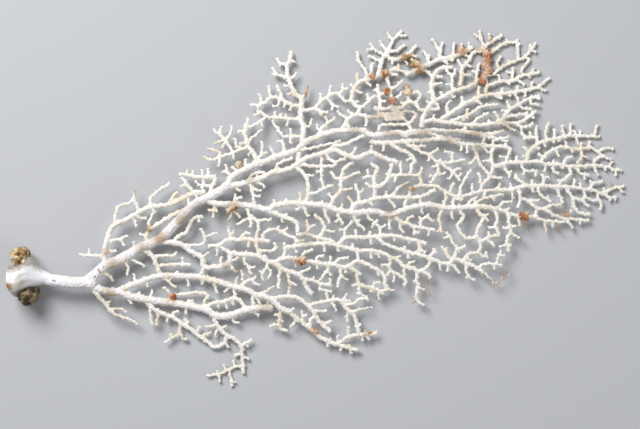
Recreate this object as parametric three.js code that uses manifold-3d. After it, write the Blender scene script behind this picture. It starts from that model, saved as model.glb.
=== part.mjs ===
// A dried sea fan lying flat, in millimetres: X runs from the holdfast's cut to the outer tips,
// Y across the fan, Z up from the table.
import * as THREE from "three";
import * as BufferGeometryUtils from "three/addons/utils/BufferGeometryUtils.js";
import Module from "manifold-3d";

const wasm = await Module();
wasm.setup();
const { Manifold, Mesh: SolidMesh } = wasm;

// ---- driving dimensions, mm ----
const CLEARANCE = 0.3; // gap left between one limb and the limb it grows from
const STEM_AXIS = 12; // height of the stem's axis over the table
const CREST = 9.5; // height of the branches in the middle of the fan
const MARGIN = 1.7; // height of the branches round the rim, which rests on the table
const FAN_CENTRE = [165, 35]; // middle of the arched part
const FAN_HALF = [138, 84]; // half length and half width of the arched part
const RIPPLE = 1.1; // rise and fall of the sheet
const RIPPLE_PITCH = [17, 21]; // length of a ripple along and across, over 2 pi
const STEM_BLEND = [20, 100]; // along this run the stem comes down to the sheet
const CUT_X = -1; // the flat cut through the holdfast
const OVERSHOOT = 40; // size of the block that makes the cut
const SIX_SIDED_ABOVE = 2; // radius over which a branch has six sides
const FIVE_SIDED_ABOVE = 1.45; // radius over which it has five; thinner ones have four
const HOLDFAST_SIDES = 16;
const MEAN_FACTOR = 1.35; // widens a prism until its mean radius is the branch's
const ROCK_ROUGHNESS = 0.1; // depth of the lumps, as a share of a chip's size

// ---- colours ----
const CORAL = { color: 0xe6e2dc, roughness: 0.85, metalness: 0 };
const MEMBRANE = { color: 0xd9d6d2, roughness: 0.5, metalness: 0 };
const PALE_ROCK = { color: 0xb59a6c, roughness: 0.95, metalness: 0 };
const DARK_ROCK = { color: 0x4a3d33, roughness: 0.95, metalness: 0 };

// Each limb is a list of branches: radius at the base, radius at the tip, then the points it
// passes through, as X and Y from the holdfast's cut and the stem's axis.
const LIMBS = {
  stem: [
    [3.1, 2.9, [12, 0.3], [30, -2.5], [39, -2.7]],
  ],
  upper_limb: [
    [2.7, 2.3, [36, -2.6], [46, 5.8], [64, 15], [74, 19.8], [90, 36], [107, 45.5]],
    [1.1, 1, [55, 9.5], [65, 5.8]],
  ],
  lower_limb: [
    [2.1, 1.9, [35, -3], [48, -7.2], [53, -7.3], [60, -10], [80, -13], [96, -16.3], [100, -19],
      [105, -19.7], [116, -16.5], [128, -15.5]],
    [1.2, 1.1, [77.5, -12.5], [79, -9.5], [92, -7.8], [97, -9], [95, -15.5]],
    [1.3, 1.3, [94.5, -15.5], [110, -10.6], [113.5, -12], [115.5, -16]],
  ],
  inner_limb: [
    [1.7, 1.7, [51, -7.3], [73, 0.6], [92, 0], [105, -3], [116, -6], [121, -8.8], [126, -9.8],
      [134, -15.8], [138, -17.2]],
  ],
  lower_outer_branch: [
    [1.5, 1.3, [66, -12], [70, -16], [80, -20.5], [92, -29.5], [100, -35.3], [105, -33.3],
      [106, -29.5]],
  ],
  first_lower_twig: [
    [1.5, 1, [39.5, -5], [50, -18], [61.7, -23.3]],
  ],
  lower_fork: [
    [1.5, 1.2, [100, -19], [102.2, -25], [113.5, -34.5], [114.5, -48]],
    [1.1, 1, [114.5, -45], [96.3, -49.7]],
    [1, 1, [107.3, -47], [108.5, -54.5]],
  ],
  inner_tail: [
    [1.5, 1.3, [137.5, -17], [152, -29.5], [160, -33.4], [171.5, -36.5]],
  ],
  hook_twig: [
    [1.3, 1.1, [133.5, -16], [132.5, -23.5], [133.7, -26.3], [136.5, -26.7]],
  ],
  seaward_link: [
    [1.4, 1.4, [129, -10.7], [140, -9.8], [143, -11], [147.5, -14.5], [152.5, -22],
      [157.8, -26.8]],
    [1.3, 1.3, [148, -14], [160, -11.3], [163.5, -11.8], [170.5, -20], [172.5, -28]],
    [1.3, 0.8, [169, -17.5], [179, -15]],
    [1.2, 1.1, [166.5, -13.8], [173, -10.8], [177, -11]],
  ],
  low_rim_branch: [
    [1.2, 1.2, [163, -33], [168, -29.8], [181, -28]],
  ],
  first_drop: [
    [1.6, 1.4, [63.5, 14], [69, 11], [73, 2]],
    [1.2, 1.1, [70, 10.5], [80.5, 10.8]],
    [1.2, 1.2, [72, 5.5], [88, 6.3]],
  ],
  middle_limb: [
    [1.6, 1.5, [71, 18], [84, 16.3], [94, 9.8], [95, 5.2], [105, 5.8], [108, 7.5], [108.6, 12],
      [122, 10.6], [135.5, 3.6], [141, 2], [145, -0.8], [148.5, -7.8]],
    [1.3, 1.2, [80, 17], [82, 20.3], [86, 22.3], [90, 29.3], [94, 30.4]],
    [1.1, 1, [86, 16], [94.5, 16.5], [96, 20], [101.5, 22.2]],
    [1.3, 1.3, [108.6, 11.7], [101.5, 15.7], [98, 15.5]],
    [1.2, 1.1, [115.3, 11], [115.5, 7.5], [118.4, 1.6]],
    [1.1, 1.2, [132.8, 5], [132.4, -5.2]],
    [1.2, 1.1, [145.5, -0.7], [158.2, -4]],
  ],
  arching_branch: [
    [1.4, 1.3, [102.5, 15.6], [109, 18.9], [127.5, 18]],
    [1.2, 1.1, [121.2, 18], [122.4, 13.6], [130.3, 13.5], [130.6, 16.8]],
    [1.2, 1.2, [124, 18.7], [126, 22.7], [131, 24], [141, 19.3], [141.3, 17.5]],
  ],
  lower_mesh_limb: [
    [1.4, 1.3, [130, 7.2], [134, 9.3], [138, 9.7], [153, 7], [165, 5], [173, 8], [184, 2],
      [187, -6]],
    [1.2, 1.1, [163, 5.5], [163.5, 0.5], [162, -4.5]],
    [1.3, 1.2, [168, 5], [171.3, 2.3], [173, -3.5], [183.5, -6.9], [187, -6]],
  ],
  upper_mesh_limb: [
    [1.4, 1.3, [136.5, 14.8], [158, 16.8], [173, 13.2], [183, 12.5], [191, 9], [196, 5.2],
      [205, 2.6], [208, 0.2]],
    [1.2, 1.1, [188, 9.5], [188.2, 3.6], [196, -1.8], [195, -4]],
    [1.2, 1.1, [201.6, 2.7], [201.7, -11.5], [204.7, -14]],
  ],
  braid_limb: [
    [1.3, 1.3, [141.8, 21.2], [147, 21.4], [159.3, 17.7]],
    [1.3, 1.2, [152.5, 20], [155, 23.8], [154.3, 27.5], [150.7, 30.7]],
  ],
  long_row: [
    [1.4, 1.3, [162.3, 16], [166.5, 19.8], [186, 20.8], [205.7, 16.8]],
    [1.3, 1.3, [181.5, 19.8], [184, 17.5], [192, 14], [214, 7], [217.5, 7], [220, 9], [223, 8.3],
      [234, 3]],
    [1.2, 1.1, [220, 9.3], [221.3, 14], [216.3, 22]],
    [1.1, 1, [225.5, 7], [226, 3], [230, -1.5]],
    [1, 0.6, [234, 3], [241, -3.5], [247.5, 0.8]],
  ],
  shoulder_branch: [
    [1.6, 1.4, [46, 6.5], [46.3, 16], [50, 25.5], [68, 35], [77, 36], [90, 42], [95, 42.3]],
    [1.2, 1.1, [45.5, 10.8], [34, 11.3]],
    [1.1, 1.1, [46.7, 17.7], [56.5, 20.7]],
    [1.2, 1.1, [51, 26.5], [51, 31], [53, 35.5], [58, 37], [60, 39.5], [60.5, 43.5]],
    [1.2, 1.1, [68, 35], [69, 40], [78, 46.8]],
  ],
  upper_twin: [
    [1.3, 1.3, [67, 16.5], [66.3, 21], [70, 25], [86, 34]],
  ],
  crown_twig_left: [
    [1.4, 1.2, [98, 41], [101, 49.8], [83.3, 51.6]],
  ],
  crown_limb: [
    [1.8, 1.6, [106.5, 45.2], [108.8, 49.8], [113, 52.5], [131, 60], [141.5, 63.5], [145, 67],
      [155, 71.3], [161, 73], [175, 73.2], [178.5, 70.8], [192, 72.3], [196, 70.7]],
    [1.3, 1.1, [152.5, 70.5], [154.5, 74.7], [160.3, 79.3]],
  ],
  second_limb: [
    [1.7, 1.5, [107, 45.5], [125, 50], [135, 53.2], [149, 60.3], [160, 63.5], [171.5, 59.3],
      [179, 62.2], [191, 57.5]],
    [1.2, 1.1, [116.5, 47.5], [121, 52], [124.8, 52.6]],
    [1.2, 1.1, [130.5, 52.7], [132.5, 56.8], [139, 59.2]],
    [1.2, 1.1, [118, 47.5], [120.3, 37.2]],
    [1.3, 1.3, [141, 55], [145, 51.5], [147, 47.5], [146.5, 37.8]],
    [1.1, 1.1, [147, 41], [159.3, 45.7]],
    [1.1, 1.1, [155, 44.7], [153.8, 49], [153.7, 60.5]],
    [1.2, 1.1, [143.5, 56.2], [159.5, 55.4]],
    [1.2, 1.1, [156, 61.5], [158, 58.5], [160.5, 57.5], [165.3, 59]],
  ],
  between_limbs: [
    [1.2, 1.2, [157.5, 63.3], [160.5, 65.7], [165, 66], [174.5, 70.5]],
  ],
  left_climber: [
    [1.5, 1.2, [121, 57.3], [120.5, 61], [117, 65.5], [115.5, 71.5], [117, 79]],
    [1.2, 1.1, [115.7, 75], [119, 75.3], [126, 80]],
    [1.2, 1.1, [117.3, 65], [99, 58.5], [95.3, 59.8]],
    [1.2, 1.1, [109.5, 62], [105.3, 69], [100, 73.5]],
  ],
  tall_limb: [
    [1.6, 1.6, [143.9, 65.6], [144.7, 75], [143.5, 79], [144, 89.5]],
    [1.2, 1, [144.5, 70.5], [134, 71], [129.3, 77.8]],
    [1.2, 1.1, [143.5, 79], [126, 80.3], [123.5, 82.7], [120.5, 80.7]],
    [1.3, 1.1, [144, 83.6], [151, 85], [153.5, 88], [160, 91.8], [167.7, 87.8]],
  ],
  tall_limb_left: [
    [1.3, 1.1, [143.7, 85.5], [139, 86], [129.5, 90.2], [122, 86.1], [118.6, 86.3]],
  ],
  tall_limb_tip: [
    [1.5, 1.2, [144, 89], [141, 91.3], [137.5, 99], [136.5, 104], [138.6, 110], [138.3, 112.8]],
  ],
  upper_mid_limb: [
    [1.4, 1.3, [164.5, 74.3], [168.3, 80], [171.7, 81.7], [172.8, 84.5], [170, 86.5],
      [168.8, 89.5], [170, 94], [172.5, 97.2], [183, 101]],
    [1.2, 1.1, [175.7, 98.5], [176, 103], [172.5, 108.3], [171.8, 112.6]],
    [1.3, 1.2, [171.7, 81.5], [194.8, 78.9]],
  ],
  fan_tree: [
    [1.5, 1.1, [182.5, 101], [184.3, 109], [189.5, 118.6], [194, 123.3]],
    [1.4, 1.2, [186.5, 111.3], [189, 109.2], [192.5, 109.4], [196, 111], [201.2, 116]],
    [1.3, 1.1, [183, 101], [192.5, 105.7]],
    [1.2, 1.1, [182.6, 100.8], [186.3, 101.2], [188.5, 94.5], [194.2, 98.2]],
  ],
  grid_row: [
    [1.3, 1.2, [180.3, 84.3], [194, 84.7], [196.5, 87.3], [200.5, 87], [204.2, 83.5]],
    [1.2, 1.1, [183, 84], [182, 96]],
    [1.1, 1.1, [198, 91.3], [202.3, 92.8], [203.2, 90], [201.3, 87.7]],
  ],
  rising_limb: [
    [1.5, 1.3, [203.8, 75.5], [205.5, 82], [210, 88.7], [208.8, 96], [209.7, 100], [214, 104.8],
      [218.7, 105]],
    [1.3, 1.2, [210.3, 88.3], [224, 94.4], [235, 99.3]],
    [1.1, 1.1, [219.5, 93.3], [219.3, 99.5], [221, 103.7]],
  ],
  far_top_limb: [
    [1.5, 1.3, [196.7, 101.7], [203, 105.3], [222, 111.3], [229.3, 115]],
    [1.2, 1.1, [213, 109.3], [212.8, 113.3], [209.5, 119.2]],
  ],
  far_top_crown: [
    [1.3, 1.2, [223.4, 96.3], [224.5, 104.5], [230, 112.7], [233.5, 113.5], [244, 121]],
    [1.4, 1.3, [235.3, 114], [236.7, 108], [236, 101.5]],
    [1.3, 1.1, [237, 111.5], [244.5, 116.6], [252, 117.5], [252.6, 110.3]],
    [1.2, 1.1, [236.5, 101.3], [240.5, 102], [244, 105], [256, 110.7], [261.2, 117]],
    [1.1, 1.1, [256, 110.5], [258.3, 108.7], [254.2, 103]],
  ],
  far_mid_limb: [
    [1.2, 1.2, [236.3, 92.7], [236.3, 95], [240, 97], [250, 98.5], [254, 101], [262.8, 102.6]],
  ],
  far_row_high: [
    [1.4, 1.1, [214.3, 79.5], [226, 87], [236, 91.2], [250, 92.6], [262, 95], [268, 99.6]],
  ],
  far_row_mid: [
    [1.2, 1.1, [219, 78], [229, 82], [234, 85.4], [242, 86.4]],
  ],
  far_row_low: [
    [1.4, 1.2, [204.3, 77.5], [210, 78.3], [228, 75.8], [240, 77], [253, 77.3], [261.2, 83]],
    [1.2, 1.1, [242, 77.5], [247, 80.2], [257, 82]],
    [1.2, 1.1, [244.5, 79], [248, 83.7], [259, 90], [263, 90.8]],
  ],
  cross_row: [
    [1.4, 1.2, [194.5, 71.5], [199, 73], [210, 73.6], [222, 73], [236, 71.5], [244.6, 73]],
    [1.2, 1.1, [198.5, 73], [197.2, 76], [192, 76.2], [183, 75.7], [182.6, 73.6]],
  ],
  mesh_row: [
    [1.4, 1.3, [178.6, 67.3], [197, 68], [210, 69], [228, 66.2], [245, 65.3], [248.5, 64]],
    [1.3, 1.2, [188, 66.7], [197, 62], [200.5, 58], [198.7, 56], [198.4, 52.3]],
    [1.2, 1.1, [195, 67.3], [213, 57], [225.3, 58.8]],
    [1.2, 1.1, [211.5, 57.5], [212, 52.7], [208.5, 47.3]],
    [1.1, 1.1, [214, 56.3], [218.5, 53.3], [223.3, 54.3]],
    [1.2, 1.2, [229.5, 65.7], [233, 56.5], [237.5, 51.5]],
    [1.2, 1.2, [240, 65], [238.6, 60.5], [239.6, 55], [234.7, 46.8]],
    [1.1, 1.1, [239.3, 65.7], [240.5, 68.5], [247.4, 70]],
  ],
  right_row: [
    [1.4, 1.1, [240.6, 55.4], [248, 57.2], [262, 57.8], [277, 55.6], [291, 56], [304, 53.7]],
    [1.2, 1.2, [277.5, 55.5], [278.6, 51.7], [273.2, 46.7]],
  ],
  right_upper_branch: [
    [1.3, 1.1, [256.5, 57.7], [257.3, 61.5], [261, 66], [266, 68.2], [278, 70.7], [293, 70.3]],
  ],
  right_middle_branch: [
    [1.2, 1.1, [264, 58.2], [270, 64], [275, 65.2], [282, 64], [289.5, 64.6], [299, 59]],
  ],
  net_limb: [
    [1.8, 1.6, [96, 38.5], [101, 36.7], [118, 35.6], [127, 33.8], [131, 35.8], [139, 36.9],
      [154, 36], [170, 32.2], [180, 32.9], [188, 31], [200, 35.2], [208, 36.2], [216, 34.4],
      [234, 35.2], [241, 34]],
    [1.2, 1.1, [169.7, 32], [171.3, 27.5], [175.2, 24]],
  ],
  net_links: [
    [1.3, 1.2, [190.3, 31], [193, 27.5], [210, 23.6]],
    [1.2, 1.1, [203.3, 25], [203.6, 28.6], [206.7, 30], [209.4, 28]],
  ],
  net_drop_left: [
    [1.2, 1.1, [214.8, 34.3], [212.3, 30], [213.5, 22.8]],
  ],
  net_drop_right: [
    [1.2, 1.2, [222, 34.3], [224.6, 30], [221.7, 26], [223.5, 21.7], [226.7, 19.2],
      [231.5, 20.2]],
    [1.3, 1.2, [231.2, 34.5], [232.8, 31.5], [235, 30.3], [232, 24.7], [231.3, 20.5],
      [233, 17.6], [232.7, 13.5]],
    [1.2, 1.2, [233.3, 17.8], [238, 20.3], [242, 20.8], [242.3, 22.7], [240.7, 25.3],
      [241.8, 29.3], [240.3, 33.2]],
  ],
  net_far: [
    [1.3, 1.1, [241, 34], [253, 30.5], [275, 27.4]],
    [1.2, 1.1, [247, 31.7], [248.3, 22.8], [246.4, 19], [247.2, 13.4]],
  ],
  net_side: [
    [1.5, 1.3, [126.8, 33.5], [141, 27.7], [141.7, 22.9]],
  ],
  net_side_inner: [
    [1.2, 1.1, [116.7, 34], [122.5, 25.5], [121.3, 20.3]],
  ],
  crossing_limb: [
    [1.5, 1.2, [169, 33.5], [170.8, 36.3], [182, 39.5], [203, 40.2], [210, 43.4]],
    [1.2, 1.1, [189, 40.5], [192, 44.5], [197, 47.3]],
    [1.2, 1.1, [197.3, 40.3], [198.3, 43], [202, 45.8], [212, 45], [220.5, 40.6], [241, 43.6]],
    [1.3, 1.2, [180.3, 39], [180.2, 50], [181.8, 54.3], [178.7, 56.3]],
    [1.4, 1.3, [180.3, 44.8], [184.5, 46.3], [187.3, 50], [188.8, 55.8]],
    [1.2, 1.1, [187.3, 50], [193, 51], [202.7, 50.5], [203.5, 46.3]],
    [1.2, 1.1, [222.7, 41], [223.5, 45.5], [228.2, 53.3]],
  ],
  right_long_row: [
    [1.4, 1.1, [241, 43.6], [262, 45.8], [278, 45.2], [295, 41.8], [300, 44.6], [305.3, 45.3]],
    [1.2, 1.1, [252.5, 44.3], [253.3, 40], [256.5, 38.4], [262.3, 38.2]],
    [1.2, 1.1, [262, 45.5], [263.3, 41], [268.3, 37.8]],
    [1.2, 1.1, [276, 45], [279.7, 39.8], [284, 38.6], [287.4, 35.5]],
    [1.2, 1.1, [279.8, 39.7], [280.4, 35], [283.7, 31.9], [288, 31.5]],
    [1.1, 1.1, [285.3, 44], [286, 40.3], [289.5, 38.4], [294, 38], [293.8, 34]],
  ],
  right_low_branch: [
    [1.3, 1.1, [257.5, 38], [261, 34.7], [266, 33.7], [275, 29.3], [279.7, 25]],
    [1.1, 1.1, [276.8, 29], [287.5, 28.2]],
  ],
  side_tree: [
    [1.4, 1.2, [158.3, 35.5], [163.3, 43], [165, 54], [169, 56.8]],
  ],
};

// The dried sheet: the stem's axis is high where the holdfast lifts it, the middle of the fan
// arches a little and the rim comes down to the table.
function sheetHeight(x, y) {
  const u = (x - FAN_CENTRE[0]) / FAN_HALF[0];
  const v = (y - FAN_CENTRE[1]) / FAN_HALF[1];
  const inside = Math.max(0, 1 - u * u - v * v);
  const wave = Math.sin(x / RIPPLE_PITCH[0]) * Math.cos(y / RIPPLE_PITCH[1]);
  const fan = MARGIN + (CREST - MARGIN) * inside + RIPPLE * wave * Math.min(1, 2 * inside);
  const blend = THREE.MathUtils.smoothstep(x, STEM_BLEND[0], STEM_BLEND[1]);
  return STEM_AXIS + (fan - STEM_AXIS) * blend;
}

function toSolid(geometry) {
  const plain = geometry.clone();
  plain.deleteAttribute("normal");
  plain.deleteAttribute("uv");
  const welded = BufferGeometryUtils.mergeVertices(plain);
  const vertProperties = new Float32Array(welded.attributes.position.array);
  const triVerts = new Uint32Array(welded.index.array);
  return new Manifold(new SolidMesh({ numProp: 3, vertProperties, triVerts }));
}

function toGeometry(solid) {
  const mesh = solid.getMesh();
  const geometry = new THREE.BufferGeometry();
  geometry.setAttribute("position", new THREE.BufferAttribute(new Float32Array(mesh.vertProperties), 3));
  geometry.setIndex(new THREE.BufferAttribute(new Uint32Array(mesh.triVerts), 1));
  geometry.computeVertexNormals();
  return geometry;
}

// One branch: a tapered cylinder whose rings are carried along a smooth curve.
function branchSolid(baseRadius, tipRadius, points, extra) {
  const thick = Math.max(baseRadius, tipRadius);
  const sides = thick > SIX_SIDED_ABOVE ? 6 : thick > FIVE_SIDED_ABOVE ? 5 : 4;
  const roundness = 1 / Math.cos(Math.PI / sides / MEAN_FACTOR);
  const curve = new THREE.CatmullRomCurve3(
    points.map(([x, y]) => new THREE.Vector3(x, y, sheetHeight(x, y))),
    false,
    "centripetal",
  );
  const steps = points.length - 1;
  const tube = new THREE.CylinderGeometry(1, 1, 1, sides, steps);
  const position = tube.attributes.position;
  const up = new THREE.Vector3(0, 0, 1);
  for (let i = 0; i < position.count; i += 1) {
    const along = position.getY(i) + 0.5;
    const centre = curve.getPoint(along);
    const tangent = curve.getTangent(along);
    const side = new THREE.Vector3().crossVectors(up, tangent).normalize();
    const lift = new THREE.Vector3().crossVectors(tangent, side);
    const radius = (baseRadius + (tipRadius - baseRadius) * along) * roundness + extra;
    centre.addScaledVector(side, position.getX(i) * radius);
    centre.addScaledVector(lift, -position.getZ(i) * radius);
    position.setXYZ(i, centre.x, centre.y, centre.z);
  }
  return toSolid(tube);
}

function limbSolid(branches, extra) {
  const solids = branches.map(([base, tip, ...points]) => branchSolid(base, tip, points, extra));
  return Manifold.union(solids);
}

// The holdfast flares from the stem to the cut; the rings run [x, half width, half depth, y].
const HOLDFAST_RINGS = [
  [17, 3.3, 3.3, 0],
  [14.5, 3.6, 3.8, 0.3],
  [12.5, 4.9, 5.4, 1.1],
  [9, 6.3, 8, 1.4],
  [5, 6.6, 10.2, 1],
  [1, 6.4, 11.6, 0.8],
  [-4, 6.4, 12, 0.8],
];

function holdfastSolid(extra) {
  const rows = HOLDFAST_RINGS.length - 1;
  const flare = new THREE.CylinderGeometry(1, 1, 1, HOLDFAST_SIDES, rows);
  const position = flare.attributes.position;
  for (let i = 0; i < position.count; i += 1) {
    const row = Math.round((0.5 - position.getY(i)) * rows);
    const [x, halfWidth, halfDepth, y] = HOLDFAST_RINGS[row];
    const across = -position.getX(i);
    const down = position.getZ(i);
    position.setXYZ(
      i,
      x,
      y + across * (halfWidth + extra),
      STEM_AXIS + down * (halfDepth + extra),
    );
  }
  return toSolid(flare);
}

// A chip of rock held by the holdfast: a rough ball drawn out to its half sizes.
function chipSolid([cx, cy, cz], [rx, ry, rz]) {
  const ball = new THREE.IcosahedronGeometry(1, 1);
  const position = ball.attributes.position;
  for (let i = 0; i < position.count; i += 1) {
    const x = position.getX(i);
    const y = position.getY(i);
    const z = position.getZ(i);
    const rough = 1 + ROCK_ROUGHNESS * Math.sin(5 * x + 2 * z) * Math.cos(4 * y - 3 * z);
    position.setXYZ(i, cx + rx * x * rough, cy + ry * y * rough, cz + rz * z * rough);
  }
  return toSolid(ball);
}

const UPPER_CHIP = [[3.6, 9.4, 12.4], [4.8, 6, 11.2]]; // centre, half sizes
const LOWER_CHIP = [[6.6, -8, 11.6], [6.1, 6, 10.5]];

function cutBlock() {
  const block = new THREE.BoxGeometry(OVERSHOOT, 2 * OVERSHOOT, 2 * OVERSHOOT);
  block.translate(CUT_X - OVERSHOOT / 2, 0, 0);
  return toSolid(block);
}

export function build() {
  const group = new THREE.Group();
  group.name = "sea_fan";
  const add = (name, solid, finish) => {
    const mesh = new THREE.Mesh(toGeometry(solid), new THREE.MeshStandardMaterial(finish));
    mesh.name = name;
    group.add(mesh);
  };

  const block = cutBlock();
  const flare = holdfastSolid(0).subtract(block);
  const grip = holdfastSolid(CLEARANCE);
  add("holdfast", flare, MEMBRANE);
  add("rock_chip_upper", chipSolid(...UPPER_CHIP).subtract(block).subtract(grip), PALE_ROCK);
  add("rock_chip_lower", chipSolid(...LOWER_CHIP).subtract(block).subtract(grip), DARK_ROCK);

  const grown = [grip];
  for (const [name, branches] of Object.entries(LIMBS)) {
    const limb = limbSolid(branches, 0).subtract(Manifold.union(grown));
    add(name, limb, CORAL);
    grown.push(limbSolid(branches, CLEARANCE));
  }

  const box = new THREE.Box3().setFromObject(group);
  const centre = box.getCenter(new THREE.Vector3());
  for (const mesh of group.children) {
    mesh.geometry.translate(-centre.x, -centre.y, -box.min.z);
  }
  return group;
}

export default build();
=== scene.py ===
# A dried, bleached sea fan lying flat on a pale table: holdfast with its reef rock, stem, branches,
# the small growths left on them and the bare ends of the horny core.
import math

import bmesh
import bpy
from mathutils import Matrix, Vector, kdtree, noise


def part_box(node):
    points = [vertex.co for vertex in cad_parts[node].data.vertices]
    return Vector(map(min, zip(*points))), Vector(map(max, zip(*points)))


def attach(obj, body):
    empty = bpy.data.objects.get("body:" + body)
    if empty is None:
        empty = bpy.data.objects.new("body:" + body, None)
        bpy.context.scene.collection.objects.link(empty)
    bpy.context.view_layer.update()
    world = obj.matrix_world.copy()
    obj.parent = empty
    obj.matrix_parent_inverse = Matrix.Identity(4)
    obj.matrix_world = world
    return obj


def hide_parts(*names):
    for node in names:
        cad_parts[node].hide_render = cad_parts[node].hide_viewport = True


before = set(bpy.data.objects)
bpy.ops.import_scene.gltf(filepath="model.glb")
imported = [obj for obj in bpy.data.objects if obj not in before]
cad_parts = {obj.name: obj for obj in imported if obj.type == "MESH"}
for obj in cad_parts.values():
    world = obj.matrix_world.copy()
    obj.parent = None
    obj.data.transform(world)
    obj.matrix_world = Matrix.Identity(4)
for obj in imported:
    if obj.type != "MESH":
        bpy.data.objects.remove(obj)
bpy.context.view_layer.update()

# ---------------------------------------------------------------- reef rock
# Two chips of reef limestone that the holdfast grew round and tore away with it: an ochre and cream
# one above, a dark weathered one below. Broken stone, so coarse lumps, then pits, then grit.
MM = 0.001
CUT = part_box("holdfast")[0].x
CUT_X = -1  # x of the holdfast's cut face, in millimetres
CHIP_REACH = 1.25  # how far a chip would reach without its breaks, in half sizes
CHIP_LUMP = 0.09  # height of its coarse lumps, in half sizes
CHIP_PIT = 0.07  # depth of its pits, in half sizes
EDGE_ON = 0.05  # a break more nearly edge-on to a point than this leaves it alone


def linear(hex_code):
    """An sRGB hex colour as linear red, green, blue and alpha."""
    parts = [int(hex_code[i:i + 2], 16) / 255 for i in (1, 3, 5)]
    return [c / 12.92 if c <= 0.04045 else ((c + 0.055) / 1.055) ** 2.4 for c in parts] + [1.0]


def node(tree, kind, inputs=None, **settings):
    """Adds a node; a link is given as a socket and anything else as the socket's value."""
    made = tree.nodes.new(kind)
    for name, value in settings.items():
        setattr(made, name, value)
    for name, value in (inputs or {}).items():
        socket = made.inputs[name]
        if isinstance(value, bpy.types.NodeSocket):
            tree.links.new(value, socket)
        else:
            socket.default_value = value
    return made


def ramp(tree, factor, *stops):
    """A colour ramp through (position, hex colour) stops."""
    made = node(tree, "ShaderNodeValToRGB", {"Fac": factor})
    elements = made.color_ramp.elements
    while len(elements) < len(stops):
        elements.new(0.5)
    for element, (position, colour) in zip(elements, stops):
        element.position = position
        element.color = linear(colour)
    return made.outputs["Color"]


def new_material(name, roughness, ior=1.5):
    """An empty principled material and its tree, shader and Object coordinates."""
    material = bpy.data.materials.new(name)
    material.use_nodes = True
    tree = material.node_tree
    shader = tree.nodes["Principled BSDF"]
    shader.inputs["Roughness"].default_value = roughness
    shader.inputs["IOR"].default_value = ior
    where = node(tree, "ShaderNodeTexCoord").outputs["Object"]
    return material, tree, shader, where


def rock_material(name, low, middle, high, pit_shade):
    """Weathered limestone: matt, mottled over about 3 mm, pitted at 1 mm and gritty at 0.25 mm."""
    material, tree, shader, where = new_material(name, 0.92)
    mottle = node(tree, "ShaderNodeTexNoise", {"Vector": where, "Scale": 330, "Detail": 6})
    colour = ramp(tree, mottle.outputs["Fac"], (0.36, low), (0.48, middle), (0.62, high))
    pits = node(tree, "ShaderNodeTexVoronoi", {"Vector": where, "Scale": 900})
    # Painted shade: the pit colour darkens the floor of each pit.
    dark = ramp(tree, pits.outputs["Distance"], (0.0, pit_shade), (0.35, "#ffffff"))
    mixed = node(tree, "ShaderNodeMix", data_type="RGBA", blend_type="MULTIPLY")
    mixed.inputs[0].default_value = 0.8
    tree.links.new(colour, mixed.inputs[6])
    tree.links.new(dark, mixed.inputs[7])
    tree.links.new(mixed.outputs[2], shader.inputs["Base Color"])
    grit = node(tree, "ShaderNodeTexNoise", {"Vector": where, "Scale": 4000, "Detail": 4})
    height = node(tree, "ShaderNodeMath", {0: grit.outputs["Fac"], 1: pits.outputs["Distance"]},
                  operation="ADD")
    bump = node(tree, "ShaderNodeBump", {"Height": height.outputs[0], "Distance": 0.00035,
                                         "Strength": 0.8})
    tree.links.new(bump.outputs["Normal"], shader.inputs["Normal"])
    return material


def finish_piece(piece, material, slot, *nodes, smooth=True):
    """Puts one finished mesh in the scene, on the body, in place of its CAD nodes."""
    piece.data.materials.clear()
    piece.data.materials.append(material)
    piece.data.polygons.foreach_set("use_smooth", [smooth] * len(piece.data.polygons))
    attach(piece, "root")
    if nodes:
        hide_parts(*nodes)
    return piece


def new_piece(name, mesh):
    """A mesh as an object in the scene."""
    piece = bpy.data.objects.new(name, mesh)
    bpy.context.scene.collection.objects.link(piece)
    return piece


def stone(name, cad_node, material, slot, breaks, reach):
    """A broken chip inside its CAD solid's box: flat breaks, then lumps, pits and grit.

    Each break is its azimuth and elevation in degrees and how far out it lies, as a share of the
    chip's half size; reach is where the chip's two sides along X lie, in millimetres.
    """
    low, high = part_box(cad_node)
    low.x = max(CUT, CUT + (reach[0] - CUT_X) * MM)
    high.x = CUT + (reach[1] - CUT_X) * MM
    middle = (low + high) / 2
    half = (high - low) / 2
    faces = []
    for azimuth, elevation, share in breaks:
        turn = math.radians(azimuth)
        tilt = math.radians(elevation)
        away = Vector((math.cos(turn) * math.cos(tilt), math.sin(turn) * math.cos(tilt),
                       math.sin(tilt)))
        faces.append((away, share))
    offset = Vector((len(name), 2.5 * reach[1], reach[0]))
    shape = bmesh.new()
    bmesh.ops.create_icosphere(shape, subdivisions=6, radius=1)
    for vertex in shape.verts:
        out = vertex.co.normalized()
        size = CHIP_REACH
        for away, share in faces:
            toward = out.dot(away)
            if toward > EDGE_ON:
                size = min(size, share / toward)
        size += CHIP_LUMP * noise.fractal(out * 2.3 + offset, 0.8, 2.1, 5)
        size -= CHIP_PIT * max(0, noise.noise(out * 8 + offset))
        point = middle + Vector(half[i] * out[i] * size for i in range(3))
        for i in range(3):
            point[i] = min(high[i], max(low[i], point[i]))
        vertex.co = point
    bmesh.ops.smooth_vert(shape, verts=shape.verts, factor=0.5, use_axis_x=True, use_axis_y=True,
                          use_axis_z=True)
    mesh = bpy.data.meshes.new(name)
    shape.to_mesh(mesh)
    shape.free()
    return finish_piece(new_piece(name, mesh), material, slot, cad_node)


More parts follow.
